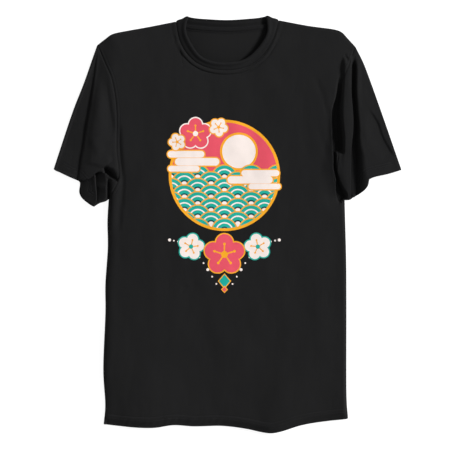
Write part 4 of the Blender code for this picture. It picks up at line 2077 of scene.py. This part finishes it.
@dataclass
class Creases:
    """The garment's own folds, in millimetres. Their paths run upwards, so that left is left."""

    pattern: Pattern

    HEM_RIDGE = 15.0

    def along(self, *points: tuple[float, float]) -> Curve:
        """A fold's path at the frame's size."""
        return self.pattern.curve(points)

    def right_sleeve(self) -> list[Fold]:
        """A strip that stands between two deep tucks, a flap beyond them, and a crumpled underarm.

        Returns:
            The folds, in pressing order.
        """
        along = self.along
        outer = along((223.8, 48), (224, 80), (224.3, 112), (225, 140), (227.8, 165),
                      (228.6, 188), (227.2, 212), (225.4, 239), (225.8, 280), (226.2, 310))
        slot = along((205, 40), (200.8, 50), (198.5, 60), (197.8, 70), (197.4, 80),
                     (195.5, 90), (192.8, 100), (192.4, 120), (192.4, 140), (193.5, 160))
        return [
            # strip between the tucks
            Fold(along((213, 90), (213, 130), (212.5, 200), (213, 260), (215, 312)),
                 Flank(2, 7), Flank(1, 30), level=24, ends=(50, 30)),
            # raised border of the body beside the tucks
            Fold(along((196.8, 48), (195.5, 60), (195.3, 70), (195, 80), (193.2, 90),
                       (190.4, 100), (190, 120), (188.7, 145), (187.7, 180), (191.2, 218)),
                 Flank(0, (26, 26, 24, 18, 10, 8, 8), slope=Slope.ROUND),
                 Flank(3, 2), rise=(2, 6, 6.2, 5, 3.4, 2.4, 1.6), ends=(10, 30)),
            # inner tuck, over the armhole seam
            Fold(along((199, 123), (198.5, 163), (197.5, 201), (202.5, 232), (205.5, 265), (208, 302)),
                 Flank((7.8, 8.6, 8, 2.2, 0.5, 0), (2.6, 2.8, 3.4, 8, 9, 8), 3),
                 Flank((7.6, 6.4, 3.4, 0.2, 0, 0), (5, 7, 7, 6, 6, 6)),
                 level=(5.2, 5, 5, 8, 16, 18.5), ends=(14, 55)),
            # rounded border of the flap
            Fold(outer, Flank(0, 1),
                 Flank((10, 10, 8, 4, 3, 2, 2, 1), (14, 14, 16, 22, 14, 10, 10, 8), slope=Slope.ROUND),
                 rise=(0, 0, -1.5, -4.5, -4, -3.5, -3, -1), ends=(1, 30)),
            # outer tuck, down to the hem
            Fold(outer, Flank(1, 1.8, 2.4),
                 Flank((8.5, 9.5, 8, 4.5, 2.8, 2.8, 3, 2), (18, 18, 16, 8.5, 6.5, 7, 7, 8),
                       slope=Slope.ROUND),
                 level=4.6, ends=(1, 30)),
            # crease on the flap
            Fold(along((301, 118), (288, 138), (276.5, 160), (270, 180), (259, 198), (249, 212)),
                 Flank(fall=30), Flank(fall=5), rise=-2.8, ends=(15, 30)),
            # ramp from the underarm, and the slot at its foot
            Fold(slot, Flank(0, 1), Flank((6, 5, 4, 2, 2, 2), 15, slope=Slope.ROUND),
                 rise=(-5, -6, -2.6, -1.2, 0, 0), ends=(2, 40)),
            Fold(slot, Flank((3, 1.2, 0.5, 0.5), 2.6, 2),
                 Flank((6, 7.5, 5, 1, 0.4, 0.4, 0.5, 0.5, 0.8, 1), (8, 10, 7, 4, 3.4, 3.6, 4, 4.5, 5, 5)),
                 level=(5, 5, 6.4, 8, 8, 8, 6), ends=(2, 20)),
            # short crease at the shoulder
            Fold(along((219, 290), (210, 308)), Flank(fall=4), Flank(fall=4), rise=-3, ends=(5, 5)),
        ]

    def left_sleeve(self) -> list[Fold]:
        """A low flap, a bulge that rises from it in a long crease, and a hollow underarm below its lip.

        Returns:
            The folds, in pressing order.
        """
        along = self.along
        crease = along((-276, 50), (-269, 86), (-264, 120), (-259, 144.5), (-255, 170),
                       (-250.5, 195), (-246.2, 221), (-241.4, 259), (-236.8, 297), (-234, 314))
        lip = along((-276, 72), (-264, 81), (-252, 87.2), (-240, 95), (-227, 104.5),
                    (-215.5, 112.5), (-206, 116), (-193, 117))
        hollow = along((-225, 97.5), (-219, 97.5), (-213.5, 94), (-209, 88.5), (-203, 83),
                       (-195, 76.5))
        pleat = along((-240, 30), (-238.5, 52), (-240.2, 72), (-241.8, 94))
        return [
            # swelling of the bulge
            Fold(along((-234, 106), (-233, 150), (-232, 190), (-230, 230), (-227, 270)),
                 Flank((10, 4), (14, 10)), Flank(2, (30, 22, 12)), rise=2.4, ends=(4, 60)),
            # step up to the armhole seam
            Fold(along((-208, 145), (-208.5, 175), (-214, 210), (-218.2, 240), (-220, 270)),
                 Flank(0, (36, 12)), Flank(1, 8), rise=-2.2, ends=(40, 30)),
            # slope of the bulge, steepest at the crease
            Fold(crease, Flank(50, 10), Flank(0, (32, 32, 32, 28, 25, 22, 18, 12, 9, 6), slope=Slope.ROUND),
                 level=(10, 10.5, 12.5, 14.8, 14.5, 11.2, 9), ends=(1, 10)),
            # ridge across the slope
            Fold(along((-246, 158), (-238.5, 143), (-231, 131), (-224, 124)),
                 Flank(fall=18), Flank(fall=12), rise=1.4, ends=(14, 12)),
            # flap, and the steep foot of the bulge
            Fold(crease, Flank(50, 10), Flank(0, 2.2), level=(7.6, 7.6, 8, 8.6, 7.8, 6.6, 6), ends=(1, 10)),
            Fold(self.pattern.curve(self.pattern.SLEEVE_FOLD[Side.LEFT]),
                 Flank(0, (6, 12, 18, 26, 36, 44), slope=Slope.EVEN), Flank(0, 1),
                 rise=(0, -2, -3.6, -4.8, -4.6), ends=(30, 1)),
            # swelling of the lip
            Fold(along((-265, 80.5), (-252, 87.2), (-240, 95), (-227, 104.5), (-215.5, 112.5), (-206, 116)),
                 Flank(1, 12), Flank(0, 2), rise=(1, 3), ends=(6, 10), lean=(1.2, -4.6)),
            # underarm in two pleats
            Fold(along((-269, 24), (-269, 60), (-269.5, 108)),
                 Flank(20, 8), Flank(3, (30, 29.5, 29), slope=Slope.EVEN), level=4.4,
                 ends=(1, 1), border=lip, border_width=3.4),
            Fold(pleat, Flank(0, 26, slope=Slope.EVEN), Flank(0, 0.6), rise=5.2, ends=(6, 10)),
            Fold(pleat, Flank(0, 1.2, 2.6), Flank(1, (23, 22, 20), slope=Slope.EVEN),
                 level=(11.2, 8.4, 4.6), ends=(3, 1), border=lip, border_width=3.4),
            Fold(along((-219.6, 34), (-219.6, 60), (-219, 76)),
                 Flank(0, 19, slope=Slope.EVEN), Flank(1, 3), rise=6.2, ends=(4, 12)),
            Fold(pleat, Flank(6, 12), Flank(0, 0.6), lean=(3.6, 0), ends=(8, 6)),
            # hollow under the lip, and the short tuck at its end
            Fold(hollow, Flank((2, 2, 1, 0.5, 0.5), (6, 8, 14, 18, 16), slope=Slope.ROUND),
                 Flank((2, 3, 2, 1, 0.5), (4, 3, 3, 3, 2), 3), level=(5.6, 5, 6, 10, 14, 17), ends=(4, 6),
                 border=lip, border_width=3),
            # gutter along the body
            Fold(along((-216.5, 44), (-216.2, 60), (-215.5, 85)),
                 Flank(0, 1.2, 2), Flank(2, 6.5), rise=-8, ends=(3, 12)),
        ]

    def body(self) -> list[Fold]:
        """Soft folds beside the underarms and at the hem, and ridges along the hem and the neck seam.

        Returns:
            The folds, in pressing order.
        """
        along = self.along
        hem = self.pattern.curve(self.pattern.HEM)
        hem_ridge = Curve(hem.beside(self.HEM_RIDGE * MM, np.linspace(0.0, 1.0, 60)), 2)
        return [
            # ridge beside the left underarm, with a valley behind it
            Fold(along((-201.5, -15), (-201, 30), (-200, 60), (-199, 85), (-198, 110)),
                 Flank(3, (9, 14)), Flank(3, 11), rise=(1, 3.6, 4.2), ends=(50, 30)),
            Fold(along((-195, -25), (-194.2, 20), (-191.2, 50), (-189.2, 75), (-191, 100),
                       (-192.5, 120), (-194.5, 145), (-194.5, 185)),
                 Flank(fall=12), Flank(fall=7), rise=-3, ends=(40, 30)),
            # long rise towards the right edge
            Fold(along((208, -370), (208, -200), (206, 30), (196, 100)),
                 Flank(0, (55, 90, 110, 110), slope=Slope.ROUND), Flank(20, 10),
                 rise=(7.5, 5.2, 3.6, 3.6), ends=(1, 80)),
            # soft folds at the hem
            Fold(along((98, -376), (96, -300), (100, -200)),
                 Flank(0, (52, 60)), Flank(4, 120), rise=5.6, ends=(1, 130)),
            Fold(along((-118, -370), (-123, -300), (-130, -200)),
                 Flank(0, (50, 44)), Flank(4, 110), rise=4.6, ends=(1, 130)),
            Fold(along((-165, -370), (-166, -300), (-170, -220)),
                 Flank(0, 42), Flank(2, 50), rise=4.6, ends=(1, 110)),
            Fold(along((-86, -125), (-70, -108)), Flank(fall=6), Flank(fall=6), rise=-1, ends=(8, 8)),
            # drag lines towards the right underarm
            Fold(along((152, 278), (170, 230), (181, 190)),
                 Flank(fall=10), Flank(fall=6), rise=-1, ends=(30, 20)),
            Fold(along((160, 185), (170, 145), (180, 115)),
                 Flank(fall=12), Flank(fall=10), rise=-0.8, ends=(30, 20)),
            # roll of the hem, and the ridge between its needle lines
            Fold(hem, Flank(fall=13), Flank(), rise=-5.8, ends=(2, 2)),
            Fold(hem_ridge, Flank(0.4, 4), Flank(0.4, 10), rise=1.2, ends=(10, 10)),
            # ridge between the neck seam and its outer needle line
            Fold(self.pattern.curve(self.pattern.NECK_SEAM_FRONT), Flank(), Flank(5.8, 2.4),
                 rise=1.4, ends=(6, 6)),
        ]

    def all(self) -> list[Fold]:
        """Every fold, in the order in which they are pressed."""
        return [*self.body(), *self.right_sleeve(), *self.left_sleeve()]


# ---- studio


@dataclass
class Studio:
    """White table, soft daylight all round, one key light from the right, and a camera overhead."""

    low: Vector
    high: Vector
    frame_width: float = 0.81225
    aim_offset: tuple[float, float] = (-0.0045, -0.0009)
    distance: float = 3.2
    table_radius: float = 200.0
    key_elevation: float = 37.0
    key_azimuth: float = 21.0
    key_strength: float = 3.62
    key_softness: float = 15.0
    sky: Triple = (0.04, 0.42, 0.35)

    TABLE_SIDES = 48
    TABLE_RINGS = (1e-4, 1.2, 6.0, 40.0)
    SKY_STOPS = (0.0, 0.01, 0.12, 0.28)
    SKY_LIFT = 0.02

    def build(self) -> None:
        """Make the table, the lights and the camera."""
        self.table()
        self.daylight()
        self.key_light()
        self.camera()

    def table(self) -> None:
        """A large round table top at the height of the floor."""
        angles = np.linspace(0.0, 2 * math.pi, self.TABLE_SIDES, endpoint=False)
        circle = np.column_stack([np.cos(angles), np.sin(angles), np.zeros(self.TABLE_SIDES)])
        grid = np.array([circle * ring for ring in (*self.TABLE_RINGS, self.table_radius)])
        faces = grid_faces(len(grid), self.TABLE_SIDES, ring=True)
        top = object_from("table_top", grid, faces, TableFinish().make())
        top.visible_diffuse = False
        top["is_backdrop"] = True

    def daylight(self) -> None:
        """Even light from above, brighter towards the horizon and dark below it."""
        world = bpy.data.worlds.new("daylight")
        world.use_nodes = True
        bpy.context.scene.world = world
        shading = Shading(world.node_tree)
        direction = shading.shade("ShaderNodeTexCoord", output="Generated")
        height = shading.shade("ShaderNodeSeparateXYZ", {}, {"Vector": direction}, output=2)
        below, horizon, above = self.sky
        stops = tuple(zip(self.SKY_STOPS, (below, horizon, horizon, above)))
        ramp = shading.shade("ShaderNodeValToRGB", {"stops": stops}, {0: height + self.SKY_LIFT})
        light = shading.shade("ShaderNodeBackground", {}, {"Color": ramp, "Strength": 1.0})
        shading.node("ShaderNodeOutputWorld", {}, {"Surface": light})

    def key_light(self) -> None:
        """A large soft lamp, low on the right."""
        lamp = bpy.data.lights.new("key", "SUN")
        lamp.energy = self.key_strength
        lamp.angle = math.radians(self.key_softness)
        key = bpy.data.objects.new("key", lamp)
        turn, lift = math.radians(self.key_azimuth), math.radians(self.key_elevation)
        level = math.cos(lift)
        toward = Vector((math.cos(turn) * level, math.sin(turn) * level, math.sin(lift)))
        key.rotation_euler = toward.to_track_quat("Z", "Y").to_euler()
        bpy.context.scene.collection.objects.link(key)

    def camera(self) -> None:
        """A long lens that looks straight down on the garment."""
        lens = bpy.data.cameras.new("overhead")
        lens.sensor_width = 36.0
        lens.lens = lens.sensor_width * self.distance / self.frame_width
        lens.clip_end = 100.0
        camera = bpy.data.objects.new("overhead", lens)
        middle = (self.low + self.high) / 2
        x, y = middle.x + self.aim_offset[0], middle.y + self.aim_offset[1]
        camera.location = (x, y, Lay.SEAM_Z + self.distance)
        bpy.context.scene.collection.objects.link(camera)
        bpy.context.scene.camera = camera
        bpy.context.scene.view_settings.view_transform = "Standard"


def laid_out(pattern: Pattern) -> Lay:
    """The garment's lay, with its folds, seams and unevenness.

    Args:
        pattern: The fitted pattern.

    Returns:
        The lay.
    """
    hem = pattern.curve(pattern.HEM)
    unevenness = [
        Crumple(height=0.002, across=0.07, along=0.12, seed=1.7),
        Crumple(height=0.0011, across=0.03, along=0.05, seed=5.1),
        Crumple(height=0.0003, across=0.012, along=0.018, seed=9.4),
        Roping(hem, width=0.0185, pitch=0.0135, slant=0.55, height=0.00055, span=(0.015, 0.27)),
    ]
    dents = Seams(pattern).dents()
    return Lay(pattern.closed_edges(), Creases(pattern).all(), dents, unevenness, pattern.HEM_DIP * MM)


def reported(piece: bpy.types.Object) -> bpy.types.Object:
    """Report a finished piece and hand it on."""
    log.info("%s: %d faces", piece.name, len(piece.data.polygons))
    return piece


def main() -> None:
    """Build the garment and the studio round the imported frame."""
    logging.basicConfig(level=logging.INFO, format="%(name)s: %(message)s")
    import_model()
    frame_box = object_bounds()
    pattern = Pattern.fitted(*frame_box, cloth=0.0015)
    finishes = [finish.make() for finish in (JerseyFinish(), RibFinish(), TapeFinish(), ThreadFinish())]
    shop = Wardrobe(pattern, laid_out(pattern), *finishes)
    Studio(*frame_box).build()
    front = reported(Panel(shop, front=True).build())
    back = reported(Panel(shop, front=False).build())
    sleeves = [reported(Sleeve(shop, side).build()) for side in Side]
    collar = reported(Collar(shop).build())
    tape = NeckTape(shop)
    tape_piece = reported(tape.build())
    design = reported(Print(shop).build())
    hem_rows, _, neck_rows, seam_rows = [reported(rows) for rows in Seams(pattern).sewn(shop, tape)]


if __name__ == "__main__":
    main()
